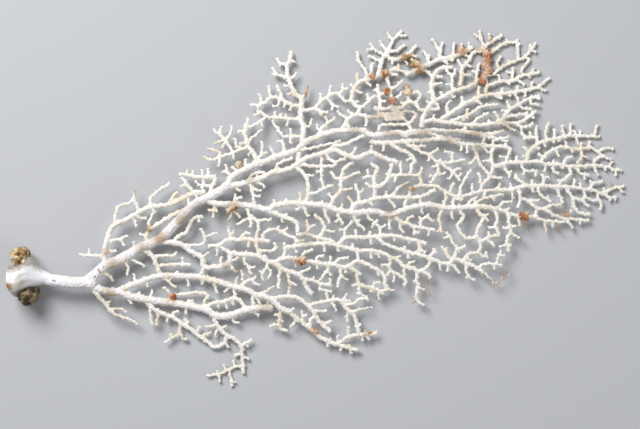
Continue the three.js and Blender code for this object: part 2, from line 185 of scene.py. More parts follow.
ochre_rock = rock_material("ochre_limestone", "#7d5f36", "#c4a26a", "#efe6d2", "#9a7a4c")
dark_rock = rock_material("weathered_limestone", "#2c261e", "#5e5240", "#b09a72", "#5a4c3a")
UPPER_BREAKS = [(0, 5, 0.9), (62, 10, 1.0), (108, 4, 0.9), (150, 0, 1.0), (180, 12, 1.0),
                (270, 0, 0.9), (225, 8, 0.95), (20, 62, 0.86), (140, 55, 0.9), (250, 60, 0.84),
                (0, 90, 0.92), (60, -60, 0.9), (200, -55, 0.9), (0, -90, 0.95)]
LOWER_BREAKS = [(8, 0, 0.94), (322, 8, 0.84), (285, 12, 0.98), (262, 5, 1.02), (222, 0, 0.8),
                (180, 10, 0.95), (90, 0, 0.9), (40, 25, 0.92), (300, 55, 0.82), (200, 50, 0.86),
                (80, 62, 0.84), (0, 90, 0.9), (300, -55, 0.9), (120, -60, 0.9), (0, -90, 0.95)]
stone("upper_rock", "rock_chip_upper", ochre_rock, "pale_rock", UPPER_BREAKS, (-0.4, 8.3))
stone("lower_rock", "rock_chip_lower", dark_rock, "dark_rock", LOWER_BREAKS, (2.6, 13))

# ---------------------------------------------------------------- holdfast
# The foot that glued the fan to the reef: the stem's tissue spread over the rock as a smooth skin
# and dried on it, faintly glossy, with stretch folds running up to the stem. Cut flat behind.
# Rings run (x, upper side, lower side, half depth) in millimetres.
HOLDFAST_SIDE = 7.7  # from the stem's axis to the holdfast's upper side
AXIS_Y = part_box("holdfast")[1].y - HOLDFAST_SIDE * MM
STEM_HEIGHT = 12  # of the stem's axis over the table
HOLDFAST_RINGS = [
    (-1, 5.6, -5.6, 11.6), (0, 6.0, -8.4, 11.5), (1.5, 6.2, -9.6, 11.2), (3.5, 7.0, -9.8, 10.9),
    (5, 8.4, -8.2, 10.2), (7, 10.4, -6.6, 9.2), (8.5, 10.8, -5.4, 8.2), (10, 9.9, -4.8, 7.0),
    (11.5, 8.2, -4.5, 6.0), (13, 6.2, -4.1, 5.0), (14.5, 4.5, -3.7, 4.2), (16, 3.6, -3.4, 3.6),
    (18, 3.0, -3.3, 3.1), (20.5, 1.2, -3.2, 2.3),
]
RING_POINTS = 96
RING_ROWS = 56
BLEND = 4  # rows averaged on each side of a ring
BLEND_STEP = 0.3  # millimetres between the rows averaged
FOLD = 0.025  # height of the stretch folds, as a share of the ring's half width
LUMP = 0.07  # height of the lumps, as a share of the same
FOLDS_FULL = 8  # x as far as which the folds are full
FOLDS_END = 16  # x past which the skin is smooth
TABLE_GAP = 0.15  # the nearest the skin comes to the table
UPPER_FLANK = 4.4  # y where the upper side starts to darken, at the widest of the lobe
LOWER_FLANK = -4.5  # y where the lower side does
LOBE_X = 9  # x of the widest of the lobe
LOBE_SLOPE = 0.25
FLANK_FADE = 3
FLANK_MOST = 0.85
FLANK_FROM = 2  # x where the lower side starts to darken
RIM_X = 1.8  # x as far as which the cut's rim is rusty
RIM_FADE = 1.5
RIM_BELOW = -2.5


def place(x, y, z):
    """A point given in millimetres from the holdfast, the stem's axis and the table."""
    return Vector((CUT + (x - CUT_X) * MM, AXIS_Y + y * MM, z * MM))


def ring_at(x):
    """The holdfast's upper side, lower side and half depth at x, between the rings given."""
    for (x0, *first), (x1, *second) in zip(HOLDFAST_RINGS, HOLDFAST_RINGS[1:]):
        if x <= x1:
            share = (x - x0) / (x1 - x0)
            return [a + (b - a) * share for a, b in zip(first, second)]
    return HOLDFAST_RINGS[-1][1:]


def holdfast():
    """The skin as one closed mesh, with how dark its flanks and how rusty its rim are."""
    shape = bmesh.new()
    rows = []
    end = HOLDFAST_RINGS[-1][0]
    for row in range(RING_ROWS + 1):
        x = CUT_X + (end - CUT_X) * row / RING_ROWS
        spread = [ring_at(min(end, max(CUT_X, x + BLEND_STEP * k)))
                  for k in range(-BLEND, BLEND + 1)]
        upper, lower, depth = (sum(values) / len(spread) for values in zip(*spread))
        middle = (upper + lower) / 2
        half = (upper - lower) / 2
        verts = []
        for i in range(RING_POINTS):
            angle = 2 * math.pi * i / RING_POINTS
            fold = math.sin(7 * angle + 0.22 * x) + 0.6 * math.sin(12 * angle - 0.31 * x)
            wide = min(1, max(0, (FOLDS_END - x) / (FOLDS_END - FOLDS_FULL)))
            lump = noise.fractal(Vector((0.25 * x, 2 * math.cos(angle), 2 * math.sin(angle))), 1, 2, 4)
            swell = 1 + wide * (FOLD * fold + LUMP * lump)
            y = middle + half * swell * math.cos(angle)
            z = STEM_HEIGHT + min(depth, depth * swell) * math.sin(angle)
            verts.append(shape.verts.new(place(x, y, max(z, TABLE_GAP))))
        rows.append(verts)
    for first, second in zip(rows, rows[1:]):
        for i in range(RING_POINTS):
            j = (i + 1) % RING_POINTS
            shape.faces.new((first[i], second[i], second[j], first[j]))
    for verts in (rows[0], rows[-1]):
        hub = shape.verts.new(sum((v.co for v in verts), Vector()) / RING_POINTS)
        for i in range(RING_POINTS):
            shape.faces.new((verts[i], verts[(i + 1) % RING_POINTS], hub))
    bmesh.ops.recalc_face_normals(shape, faces=shape.faces)
    mesh = bpy.data.meshes.new("holdfast_skin")
    shape.to_mesh(mesh)
    shape.free()
    flanks = []
    rims = []
    for vertex in mesh.vertices:
        x = (vertex.co.x - CUT) / MM + CUT_X
        y = (vertex.co.y - AXIS_Y) / MM
        patch = noise.noise(vertex.co * 500)
        over = (y - UPPER_FLANK + LOBE_SLOPE * abs(x - LOBE_X)) / FLANK_FADE + 0.5 * patch
        under = (LOWER_FLANK - y) / FLANK_FADE + 0.5 * patch if x > FLANK_FROM else 0
        flanks.append(min(FLANK_MOST, max(0, over, under)))
        rims.append(min(1, max(0, (RIM_X - x) / RIM_FADE + patch)) if y < RIM_BELOW else 0)
    for name, values in (("flank", flanks), ("rim", rims)):
        mesh.attributes.new(name, "FLOAT", "POINT").data.foreach_set("value", values)
    return new_piece("holdfast_skin", mesh)


# Dried tissue skin: smooth, slightly glossy, pale grey-white with cream patches, grey-brown towards its
# upper and lower sides, rusty at the cut's rim, and fine wrinkles.
skin, tree, shader, where = new_material("dried_tissue_skin", 0.42)
patches = node(tree, "ShaderNodeTexNoise", {"Vector": where, "Scale": 140, "Detail": 5})
colour = ramp(tree, patches.outputs["Fac"], (0.3, "#c9b89c"), (0.42, "#dcd7d0"), (0.55, "#eeedf2"))
flank = node(tree, "ShaderNodeAttribute", attribute_name="flank")
flank_tone = node(tree, "ShaderNodeMix", data_type="RGBA")
tree.links.new(flank.outputs["Fac"], flank_tone.inputs[0])
tree.links.new(colour, flank_tone.inputs[6])
flank_tone.inputs[7].default_value = linear("#9d9488")
rim = node(tree, "ShaderNodeAttribute", attribute_name="rim")
rusted = node(tree, "ShaderNodeMix", data_type="RGBA")
tree.links.new(rim.outputs["Fac"], rusted.inputs[0])
tree.links.new(flank_tone.outputs[2], rusted.inputs[6])
rusted.inputs[7].default_value = linear("#b58a55")
tree.links.new(rusted.outputs[2], shader.inputs["Base Color"])
wrinkles = node(tree, "ShaderNodeTexNoise", {"Vector": where, "Scale": 900, "Detail": 5})
bump = node(tree, "ShaderNodeBump", {"Height": wrinkles.outputs["Fac"], "Distance": 0.0004,
                                     "Strength": 0.5})
tree.links.new(bump.outputs["Normal"], shader.inputs["Normal"])
finish_piece(holdfast(), skin, "membrane", "holdfast")

# ---------------------------------------------------------------- branches
# The fan itself: a horny core under a chalky white crust set with granules, one per dead polyp,
# about 1.1 mm apart. Branches fork in one plane and fuse where they meet. Each limb gives its
# branches as base radius, tip radius and the points they pass through, in millimetres.
LIMBS = {
    "stem": [
        (3.1, 2.9, (12, 0.3), (20, -1.2), (30, -2.5), (39, -2.7)),
    ],
    "upper_limb": [
        (2.7, 2.3, (36, -2.6), (41, 1.3), (46, 5.8), (52, 8.2), (58, 11.5), (64, 15), (70, 17.6),
            (74, 19.8), (81, 27), (90, 36), (96, 39.3), (102, 42.3), (107, 45.5)),
        (1.1, 1, (55, 9.5), (60, 8.2), (65, 5.8)),
    ],
    "lower_limb": [
        (2.1, 1.9, (35, -3), (42, -5.5), (48, -7.2), (53, -7.3), (60, -10), (70, -11.7), (80, -13),
            (90, -15), (96, -16.3), (100, -19), (105, -19.7), (110, -18.6), (116, -16.5), (124, -15.3),
            (128, -15.5)),
        (1.2, 1.1, (77.5, -12.5), (79, -9.5), (84, -8.6), (92, -7.8), (97, -9), (95.5, -11.5),
            (95, -15.5)),
        (1.3, 1.3, (94.5, -15.5), (100, -13), (105, -12.2), (110, -10.6), (113.5, -12), (115.5, -16)),
        (1.2, 1.1, (110.4, -11), (110.3, -6.5)),
        (1.1, 1, (109, -19), (109.5, -22), (112, -23)),
    ],
    "inner_limb": [
        (1.7, 1.7, (51, -7.3), (57, -4.6), (64, -2), (73, 0.6), (84, 0.5), (92, 0), (100, -1.7),
            (105, -3), (110, -4.8), (116, -6), (121, -8.8), (126, -9.8), (130, -12.3), (134, -15.8),
            (138, -17.2)),
        (1.2, 1.1, (99, -1.5), (100.7, -5), (101.5, -7.7)),
        (1.2, 1, (113, -5), (116.5, -2), (119, -1), (121, 0)),
        (1.1, 1, (115.3, -3), (114.3, 0), (114, 3)),
        (1.1, 0.9, (122, -9), (127, -6.5), (130, -4.3)),
        (1.2, 1.1, (119.8, -8.5), (119.5, -12), (119.5, -15.2)),
        (1.1, 1, (119, -1), (120.5, -3), (122.5, -4)),
    ],
    "lower_outer_branch": [
        (1.5, 1.3, (66, -12), (70, -16), (76, -19), (80, -20.5), (84, -23.7), (88, -26), (92, -29.5),
            (96, -32), (100, -35.3), (105, -33.3), (106, -29.5)),
        (1.1, 1.1, (68, -14.5), (68.3, -19), (69, -23.6)),
        (1.1, 1.1, (83, -23), (82.7, -27), (84.5, -31), (86, -31.2)),
        (1.1, 1, (82.8, -28.5), (79, -30.5), (76, -32.8)),
        (1.1, 1, (93.5, -30), (96, -28.5), (98.3, -27.8)),
    ],
    "first_lower_twig": [
        (1.5, 1, (39.5, -5), (43, -9.5), (46, -13), (50, -18), (57, -20.7), (61.7, -23.3)),
        (1, 1, (49.5, -16), (53, -15.7), (56.3, -17)),
    ],
    "lower_fork": [
        (1.5, 1.2, (100, -19), (100.5, -22), (102.2, -25), (106, -29), (109.5, -30.7), (113.5, -34.5),
            (113.8, -38), (114.5, -44), (114.5, -48)),
        (1.1, 1, (114.5, -45), (111.5, -45), (107, -46.8), (102.5, -48.8), (96.3, -49.7)),
        (1, 1, (107.3, -47), (108.3, -51), (108.5, -54.5)),
        (1, 1, (102.5, -49), (102.5, -52.5)),
        (1.1, 1.1, (113.5, -34.5), (118.5, -31.8)),
        (1.1, 1, (101.5, -24), (96, -25)),
        (1.1, 1, (103, -26), (101, -27.5), (100.3, -29.8)),
        (1.1, 1.1, (113.8, -38.5), (110.5, -39.3)),
    ],
    "inner_tail": [
        (1.5, 1.3, (137.5, -17), (140.5, -19.8), (146, -24), (149, -26.5), (152, -29.5), (156, -31.7),
            (160, -33.4), (163.5, -34.3), (169, -36), (171.5, -36.5)),
        (1.2, 1.2, (148.5, -25.5), (148, -22), (150, -20)),
        (1.1, 1, (140.7, -20.5), (140.3, -23), (138.3, -24.7)),
        (1.1, 1, (144, -22), (144.5, -19.5), (143.7, -17.3)),
    ],
    "hook_twig": [
        (1.3, 1.1, (133.5, -16), (133, -20), (132.5, -23.5), (133.7, -26.3), (136.5, -26.7)),
        (1.2, 1.2, (132.3, -23.8), (128.5, -24.4)),
    ],
    "seaward_link": [
        (1.4, 1.4, (129, -10.7), (132.5, -10), (136, -9.8), (140, -9.8), (143, -11), (147.5, -14.5),
            (150.3, -18), (152.5, -22), (157.8, -26.8)),
        (1.1, 1.1, (137.3, -9.5), (137.8, -5.3)),
        (1.3, 1.3, (148, -14), (151, -13), (155, -12.4), (160, -11.3), (163.5, -11.8), (166, -15.5),
            (168.5, -17.5), (170.5, -20), (171.5, -24), (172.5, -28)),
        (1.1, 1.1, (151, -17), (156, -17)),
        (1.1, 1.1, (154.3, -24), (158.3, -22)),
        (1.1, 1.1, (157, -11.8), (156.3, -8.5), (156, -6.5)),
        (1.1, 1, (158.3, -12), (161.2, -16.5)),
        (1.3, 0.8, (169, -17.5), (173, -16.2), (179, -15)),
        (1.1, 1.1, (167, -17.5), (166.5, -22)),
        (1.2, 1.1, (166.5, -13.8), (170, -13), (173, -10.8), (177, -11)),
    ],
    "low_rim_branch": [
        (1.2, 1.2, (163, -33), (165, -31.3), (168, -29.8), (172.5, -29), (177, -28.6), (181, -28)),
        (1.1, 1.1, (167.2, -29.5), (167, -25.2)),
    ],
    "first_drop": [
        (1.6, 1.4, (63.5, 14), (69, 11), (71, 7), (73, 2)),
        (1.2, 1.1, (70, 10.5), (76, 10.8), (80.5, 10.8)),
        (1.2, 1.2, (72, 5.5), (80, 6.3), (88, 6.3)),
    ],
    "middle_limb": [
        (1.6, 1.5, (71, 18), (78, 17.3), (84, 16.3), (88, 13), (94, 9.8), (95, 5.2), (100, 5),
            (105, 5.8), (108, 7.5), (108.6, 12), (113, 11.4), (118, 11.2), (122, 10.6), (127, 8),
            (131, 6.7), (135.5, 3.6), (141, 2), (145, -0.8), (146, -4), (148.5, -7.8)),
        (1.3, 1.3, (95, 5), (94, 2)),
        (1.3, 1.2, (80, 17), (82, 20.3), (86, 22.3), (88, 26), (90, 29.3), (94, 30.4)),
        (1.1, 1, (86, 16), (94.5, 16.5), (96, 20), (101.5, 22.2)),
        (1.3, 1.3, (108.6, 11.7), (105, 14), (101.5, 15.7), (98, 15.5)),
        (1.1, 1, (101.7, 15.5), (101.7, 11.3)),
        (1.2, 1.1, (108, 6.5), (110.7, 2.7)),
        (1.2, 1.1, (115.3, 11), (115.5, 7.5), (117, 6), (118.4, 1.6)),
        (1.1, 1, (127, 7.5), (126.3, 4.7), (124.3, 2), (124.5, -1.3)),
        (1.1, 1, (126.5, 5.5), (128.6, 2), (127, -0.6)),
        (1.1, 1.2, (132.8, 5), (132.8, 0), (132.4, -5.2)),
        (1.2, 1, (136.5, 3), (137.5, -0.8), (138, -4)),
        (1.1, 1, (142, 2), (148, 4.3)),
        (1.2, 1.1, (145.5, -0.7), (150, -1.8), (154, -3.2), (158.2, -4)),
    ],
    "arching_branch": [
        (1.4, 1.3, (102.5, 15.6), (105.5, 18), (109, 18.9), (112.5, 18.6), (116, 19), (120, 18.7),
            (127.5, 18)),
        (1.1, 1.1, (109, 19), (108, 21.5), (107.5, 25.2)),
        (1.1, 1.1, (113.3, 19), (115.3, 21.8), (118, 22)),
        (1.1, 1.1, (117.5, 18.5), (117.5, 15.4)),
        (1.2, 1.1, (121.2, 18), (122.4, 13.6), (130.3, 13.5), (130.6, 16.8)),
        (1.2, 1.1, (122.4, 13.6), (123, 11)),
        (1.2, 1.2, (124, 18.7), (126, 22.7), (131, 24), (134, 22.4), (138, 20.4), (141, 19.3),
            (141.3, 17.5)),
    ],
    "lower_mesh_limb": [
        (1.4, 1.3, (130, 7.2), (134, 9.3), (138, 9.7), (142, 9), (147, 8), (153, 7), (156.5, 6.3),
            (160, 6.3), (165, 5), (168, 5.8), (170.5, 7.6), (173, 8), (179, 5.2), (184, 2),
            (185.5, -0.5), (185.5, -4), (187, -6)),
        (1.1, 1.1, (134.3, 9.7), (135.5, 13), (135, 16.8)),
        (1.1, 1, (139.7, 9), (141, 5.7)),
        (1.1, 1.1, (143.5, 9), (145, 12), (149, 13.5)),
        (1.1, 1.1, (151.5, 7.5), (151.9, 10.4), (154.7, 10.5)),
        (1.1, 1.1, (158, 6.5), (158.5, 10)),
        (1.1, 1.1, (160.5, 7), (163, 9.4), (167, 9.7)),
        (1.2, 1.1, (156.7, 6), (157, 3.7), (154.3, 0.5), (153.7, -1.2)),
        (1.2, 1.1, (163, 5.5), (163.5, 0.5), (162, -2), (162, -4.5)),
        (1, 1, (164, 0), (167, -1.2)),
        (1.3, 1.2, (168, 5), (171.3, 2.3), (171.7, -1), (173, -3.5), (177, -4.8), (180.5, -5.8),
            (183.5, -6.9), (187, -6)),
        (1.2, 1, (172.5, -3.5), (173, -7.7), (176.3, -10)),
        (1.1, 1, (179.3, -5), (180.5, -3), (182.7, -2.6)),
        (1.1, 1, (182, -6.7), (182.5, -10.7)),
    ],
    "upper_mesh_limb": [
        (1.4, 1.3, (136.5, 14.8), (141, 15.7), (147, 16.5), (152, 16.8), (158, 16.8), (163, 15.5),
            (168, 14.3), (173, 13.2), (178, 13.3), (183, 12.5), (186, 11.5), (188.5, 9.6), (191, 9),
            (193.5, 6.7), (196, 5.2), (199, 4.6), (202, 3.1), (205, 2.6), (208, 0.2)),
        (1.2, 1.2, (171.3, 13), (172.2, 9.7)),
        (1.2, 1.1, (188.2, 3.8), (186.8, 1)),
        (1.1, 1.1, (188, 6), (184, 6)),
        (1.2, 1.1, (188, 9.5), (188.2, 3.6), (191, 2), (196, -1.8), (195, -4)),
        (1, 1, (190, 2.3), (190, -2)),
        (1.1, 1, (195, 5.5), (195, 1.3)),
        (1.2, 1.1, (201.6, 2.7), (201.3, -2), (202.2, -4.3), (201.3, -8), (201.7, -11.5), (204.7, -14)),
        (1, 1, (201.7, -4.5), (204.8, -6.3)),
        (1, 1, (140, 15.3), (141.2, 12.7)),
        (1.1, 1.1, (155, 16.5), (155.2, 13.2)),
        (1.1, 1.1, (178.5, 13), (178.5, 9.8)),
    ],
    "braid_limb": [
        (1.3, 1.3, (141.8, 21.2), (147, 21.4), (151.5, 19.8), (156, 18.9), (159.3, 17.7)),
        (1.2, 1.1, (146, 21.5), (147.3, 24.8), (146.3, 28)),
        (1.1, 1.1, (147.2, 24.7), (150.3, 25.9)),
        (1.3, 1.2, (152.5, 20), (155, 23.8), (154.3, 27.5), (150.7, 30.7)),
        (1.1, 1.1, (155, 23.5), (160, 22.7)),
    ],
    "long_row": [
        (1.4, 1.3, (162.3, 16), (164, 18.2), (166.5, 19.8), (172, 19.9), (180, 20.2), (186, 20.8),
            (191, 20.6), (196, 19.2), (201, 18.2), (205.7, 16.8)),
        (1.2, 1.1, (165.7, 20), (165.4, 23.3), (169, 27.5)),
        (1.1, 1.1, (171, 20.3), (171, 23.2)),
        (1.1, 1.1, (178.3, 19.5), (178.5, 16.8)),
        (1.2, 1.1, (183, 21), (183, 24.3), (180, 27.3)),
        (1.2, 1.1, (202.5, 17.3), (202.8, 14.3), (205.3, 12.6)),
        (1.3, 1.3, (181.5, 19.8), (184, 17.5), (188, 15.6), (192, 14), (197, 12.5), (202, 11.4),
            (207.5, 9.6), (211, 8.4), (214, 7), (217.5, 7), (220, 9), (223, 8.3), (226, 7), (230, 5.5),
            (234, 3)),
        (1.2, 1.2, (207.5, 9.3), (207.5, 6.5), (205, 3.8)),
        (1.2, 1.2, (207.7, 10), (210.3, 13.5)),
        (1.1, 1.1, (213, 7), (213, 4)),
        (1.1, 1.1, (217.8, 6.8), (220.5, 5), (222.3, 2.3)),
        (1.2, 1.1, (218.7, 8.7), (216, 12), (214, 15)),
        (1.2, 1.1, (220, 9.3), (220.5, 12), (221.3, 14), (219.5, 17), (218, 20), (216.3, 22)),
        (1.1, 1.1, (221.5, 14), (225.2, 15.3)),
        (1.2, 1.2, (225.7, 7.3), (225.6, 10), (228, 11.8), (232, 12)),
        (1.1, 1, (225.5, 7), (226, 3), (227.5, 0.3), (230, -1.5)),
        (1.1, 1.1, (232, 4.5), (235, 6.6), (241, 6.6)),
        (1.1, 1, (241, 6.6), (242, 9.5), (243.5, 13)),
        (1, 0.6, (234, 3), (238.5, -1), (241, -3.5), (244, -1), (247.5, 0.8)),
    ],
    "shoulder_branch": [
        (1.6, 1.4, (46, 6.5), (45.5, 11), (46.3, 16), (48, 22), (50, 25.5), (56, 28.5), (62, 32),
            (68, 35), (77, 36), (83, 38.8), (90, 42), (95, 42.3)),
        (1.2, 1.1, (45.5, 10.8), (40, 10.8), (34, 11.3)),
        (1.1, 1.1, (46.7, 17.7), (53, 19), (56.5, 20.7)),
        (1.2, 1.1, (51, 26.5), (51, 31), (53, 35.5), (58, 37), (60, 39.5), (60.5, 43.5)),
        (1.1, 1.1, (60, 39), (61.7, 36), (62, 32.5)),
        (1.2, 1.1, (68, 35), (69, 40), (73, 43.5), (78, 46.8)),
        (1.2, 1.1, (77.7, 36), (79.5, 40), (82, 42.5)),
        (1.3, 1.1, (90, 42), (87, 46), (84.3, 49.3)),
        (1.1, 1.1, (60, 31), (63, 29.6), (66, 29.3)),
        (1.1, 1.1, (59.5, 30.3), (61.5, 25.5)),
    ],
    "upper_twin": [
        (1.3, 1.3, (67, 16.5), (66.3, 21), (70, 25), (75, 28.5), (80, 31.5), (86, 34)),
        (1.1, 1, (68.5, 24.3), (67.5, 27.5), (69, 30), (70.5, 32.7)),
    ],
    "crown_twig_left": [
        (1.4, 1.2, (98, 41), (99.5, 46), (101, 49.8), (95, 49.8), (90, 50.2), (83.3, 51.6)),
        (1.1, 1, (99.5, 45.7), (94, 45.8), (91, 47.5)),
        (1.1, 1, (97.3, 50), (97.3, 54)),
    ],
    "crown_limb": [
        (1.8, 1.6, (106.5, 45.2), (108.8, 49.8), (113, 52.5), (120, 56), (126, 57.8), (131, 60),
            (137, 62), (141.5, 63.5), (145, 67), (150, 69.5), (155, 71.3), (161, 73), (166, 73.3),
            (171, 73.2), (175, 73.2), (178.5, 70.8), (183, 71.2), (188, 71.6), (192, 72.3), (196, 70.7)),
        (1.1, 1.1, (109.3, 50), (107, 52.5), (106, 56)),
        (1.1, 1, (113.5, 52.7), (113, 55), (112.5, 57.5)),
        (1.2, 1, (122.3, 57.5), (122, 59.7), (126.5, 62.5)),
        (1.1, 1, (129.3, 59.5), (129.8, 61.7), (128, 65)),
        (1.2, 1.1, (134.3, 61.5), (135, 65), (134, 68)),
        (1.3, 1.1, (152.5, 70.5), (154.5, 74.7), (160.3, 79.3)),
    ],
    "second_limb": [
        (1.7, 1.5, (107, 45.5), (113, 46.5), (119, 48), (125, 50), (129, 52), (135, 53.2), (140, 55),
            (144, 58.2), (149, 60.3), (154, 61.6), (160, 63.5), (165, 61.5), (171.5, 59.3), (175, 61),
            (179, 62.2), (184, 59.8), (191, 57.5)),
        (1.2, 1.1, (116.5, 47.5), (118.5, 50.3), (121, 52), (124.8, 52.6)),
        (1.2, 1.1, (130.5, 52.7), (132.5, 56.8), (139, 59.2)),
        (1.2, 1.1, (118, 47.5), (119.5, 42), (120.3, 37.2)),
        (1.4, 1.4, (141.5, 56), (142.3, 60), (142.5, 61.5)),
        (1.3, 1.3, (141, 55), (145, 51.5), (147, 47.5), (147.2, 42.5), (146.5, 37.8)),
        (1.1, 1.1, (147, 41), (151, 42.3), (155.3, 44.5), (159.3, 45.7)),
        (1.1, 1.1, (155, 44.7), (153.8, 49), (153.8, 56), (153.7, 60.5)),
        (1.2, 1.1, (143.5, 56.2), (149, 55.5), (159.5, 55.4)),
        (1.2, 1.1, (156, 61.5), (158, 58.5), (160.5, 57.5), (165.3, 59)),
        (1.2, 1.1, (178.7, 62), (178.7, 65.3)),
    ],
    "between_limbs": [
        (1.2, 1.2, (157.5, 63.3), (160.5, 65.7), (165, 66), (170, 68.4), (174.5, 70.5)),
    ],
    "left_climber": [
        (1.5, 1.2, (121, 57.3), (120.5, 61), (117, 65.5), (116.6, 68), (115.5, 71.5), (116.2, 76),
            (117, 79)),
        (1.1, 1, (117.5, 68), (120, 70.3), (123.7, 73.7)),
        (1.2, 1.1, (115.7, 75), (119, 75.3), (123, 77.8), (126, 80)),
        (1.2, 1.1, (117.3, 65), (113.5, 63.8), (108, 61.5), (103, 60), (99, 58.5), (95.3, 59.8)),
        (1.1, 1.1, (103, 60), (102.5, 62.5), (97.3, 64)),
        (1.1, 1, (103, 60), (102.4, 55.5)),
        (1.2, 1.1, (109.5, 62), (107, 66.8), (105.3, 69), (100, 73.5)),
        (1.1, 1, (105.5, 69), (108.2, 71.7), (108.8, 75.5)),
        (1.1, 1, (113, 64), (111, 66), (110.8, 69)),
    ],
    "tall_limb": [
        (1.6, 1.6, (143.9, 65.6), (144.5, 70), (144.7, 75), (143.5, 79), (143.5, 84), (144, 89.5)),
        (1.2, 1, (144.5, 70.5), (138.5, 70.3), (134, 71), (129.3, 77.8)),
        (1.2, 1.1, (143.5, 79), (137, 79.2), (130, 79.8), (126, 80.3), (123.5, 82.7), (120.5, 80.7)),
        (1.1, 1, (145, 75.5), (148, 75.7), (148.8, 79)),
        (1.3, 1.1, (144, 83.6), (148, 83.6), (151, 85), (153.5, 88), (157, 90.3), (160, 91.8),
            (162.5, 91), (165, 88.5), (167.7, 87.8)),
        (1.1, 1.1, (149.5, 84.2), (153, 83), (156.5, 82.3)),
        (1.2, 1.1, (156.5, 89.7), (159, 86.5), (162, 85)),
        (1.1, 1, (158, 91), (158.3, 95.4)),
        (1.1, 1, (162.3, 91.3), (164.5, 94), (164.3, 96.5)),
    ],
    "tall_limb_left": [
        (1.3, 1.1, (143.7, 85.5), (139, 86), (134.5, 88.5), (129.5, 90.2), (125.5, 87.4), (122, 86.1),
            (118.6, 86.3)),
        (1.2, 1.1, (128.4, 90), (127.2, 95.3)),
        (1.2, 1.1, (134.2, 88.8), (133.3, 92), (131.5, 95.7)),
        (1.1, 1, (124, 87), (122.8, 91.2)),
        (1.1, 1, (133, 88.8), (132, 86), (129.7, 85.2)),
        (1.1, 1, (122.5, 86), (121.8, 83)),
    ],
    "tall_limb_tip": [
        (1.5, 1.2, (144, 89), (141, 91.3), (139.3, 94.5), (137.5, 99), (136.5, 104), (137, 107),
            (138.6, 110), (138.3, 112.8)),
        (1.1, 1.1, (137.3, 100), (133, 100.8), (130.5, 102.5), (129.5, 104.5)),
        (1.1, 1.1, (137.3, 99.5), (140, 100), (141, 101.8)),
        (1.1, 1.1, (136.7, 106.3), (133.5, 107), (131.5, 109)),
        (1.4, 0.8, (144, 89.5), (146.5, 92.2)),
    ],
    "upper_mid_limb": [
        (1.4, 1.3, (164.5, 74.3), (166.5, 77.5), (168.3, 80), (171.7, 81.7), (172.8, 84.5), (170, 86.5),
            (168.8, 89.5), (170, 94), (172.5, 97.2), (176, 98.7), (180, 99.6), (183, 101)),
        (1.2, 1.1, (167.5, 79), (164.5, 80.5), (161.7, 82.8)),
        (1.2, 1.1, (172.7, 84.8), (176, 86.3), (180.3, 90.7)),
        (1.1, 1, (170, 94.3), (173.3, 92)),
        (1.2, 1.1, (172.2, 96.7), (171.5, 101.4)),
        (1.2, 1.1, (175.7, 98.5), (176, 103), (172.5, 108.3), (171.8, 112.6)),
        (1.1, 1.1, (178.3, 99.5), (178.5, 103), (179.4, 107)),
        (1.3, 1.2, (171.7, 81.5), (175.5, 80.6), (180, 80), (186, 80.3), (191, 79.6), (194.8, 78.9)),
        (1.2, 1.1, (176, 80.3), (176.3, 75.8)),
    ],
    "fan_tree": [
        (1.5, 1.1, (182.5, 101), (183.3, 105), (184.3, 109), (186.5, 112), (188, 115), (189.5, 118.6),
            (194, 123.3)),
        (1.1, 1.1, (192, 121.3), (195.8, 121)),
        (1.1, 1.1, (189.5, 119), (186.8, 122.2)),
        (1.1, 1.1, (186.7, 112.5), (183.3, 118.4)),
        (1.1, 1.1, (185.5, 110.8), (180.3, 114.4), (178.6, 117)),
        (1.1, 1.1, (183.8, 107.7), (180.5, 109.5), (177.8, 111)),
        (1.1, 1.1, (187.3, 113), (191.5, 113.5), (195.3, 116.3)),
        (1.4, 1.2, (186.5, 111.3), (189, 109.2), (192.5, 109.4), (196, 111), (198.5, 113), (201.2, 116)),
        (1.1, 1.1, (197.7, 112), (201.3, 110.3)),
        (1.3, 1.1, (183, 101), (186.5, 102), (189, 104), (192.5, 105.7)),
        (1.1, 1.1, (189.5, 104), (195, 103)),
        (1.2, 1.1, (182.6, 100.8), (186.3, 101.2), (187, 97.5), (188.5, 94.5), (190.7, 95),
            (194.2, 98.2)),
    ],
    "grid_row": [
        (1.3, 1.2, (180.3, 84.3), (184, 83.8), (189, 84.7), (194, 84.7), (196.5, 87.3), (200.5, 87),
            (202.3, 84.3), (204.2, 83.5)),
        (1.2, 1.1, (183, 84), (183, 88), (182.3, 91), (182, 96)),
        (1.2, 1.1, (182.6, 90.5), (188, 94)),
        (1.2, 1.1, (188.8, 84.8), (189.2, 88), (193.3, 91)),
        (1.2, 1.1, (197.3, 87.5), (197, 95)),
        (1.1, 1.1, (198, 91.3), (202.3, 92.8), (203.2, 90), (201.3, 87.7)),
    ],
    "rising_limb": [
        (1.5, 1.3, (203.8, 75.5), (204.3, 79), (205.5, 82), (208, 86), (210, 88.7), (209.3, 92),
            (208.8, 96), (209.7, 100), (211.5, 103), (214, 104.8), (218.7, 105)),
        (1.2, 1.1, (206.3, 83.6), (212.5, 84)),
        (1.2, 1.1, (208.7, 95.5), (213.8, 97.2)),
        (1.2, 1.2, (209.5, 100.5), (206, 103.4), (203.5, 105)),
        (1.3, 1.2, (210.3, 88.3), (215, 90.4), (219.5, 93), (224, 94.4), (228.5, 95.8), (232, 98.3),
            (235, 99.3)),
        (1.1, 1.1, (219.5, 93.3), (219.3, 99.5), (221, 103.7)),
        (1.1, 1.1, (219.3, 101), (216.3, 103.3)),
        (1.1, 1.1, (231.3, 97.8), (231.7, 102), (233.2, 107.3)),
    ],
    "far_top_limb": [
        (1.5, 1.3, (196.7, 101.7), (200, 103), (203, 105.3), (208, 106.8), (212, 108.8), (217, 110),
            (222, 111.3), (225, 112.5), (229.3, 115)),
        (1.1, 1.1, (207.5, 107), (207, 110), (205, 113.4)),
        (1.2, 1.1, (213, 109.3), (212.8, 113.3), (209.5, 119.2)),
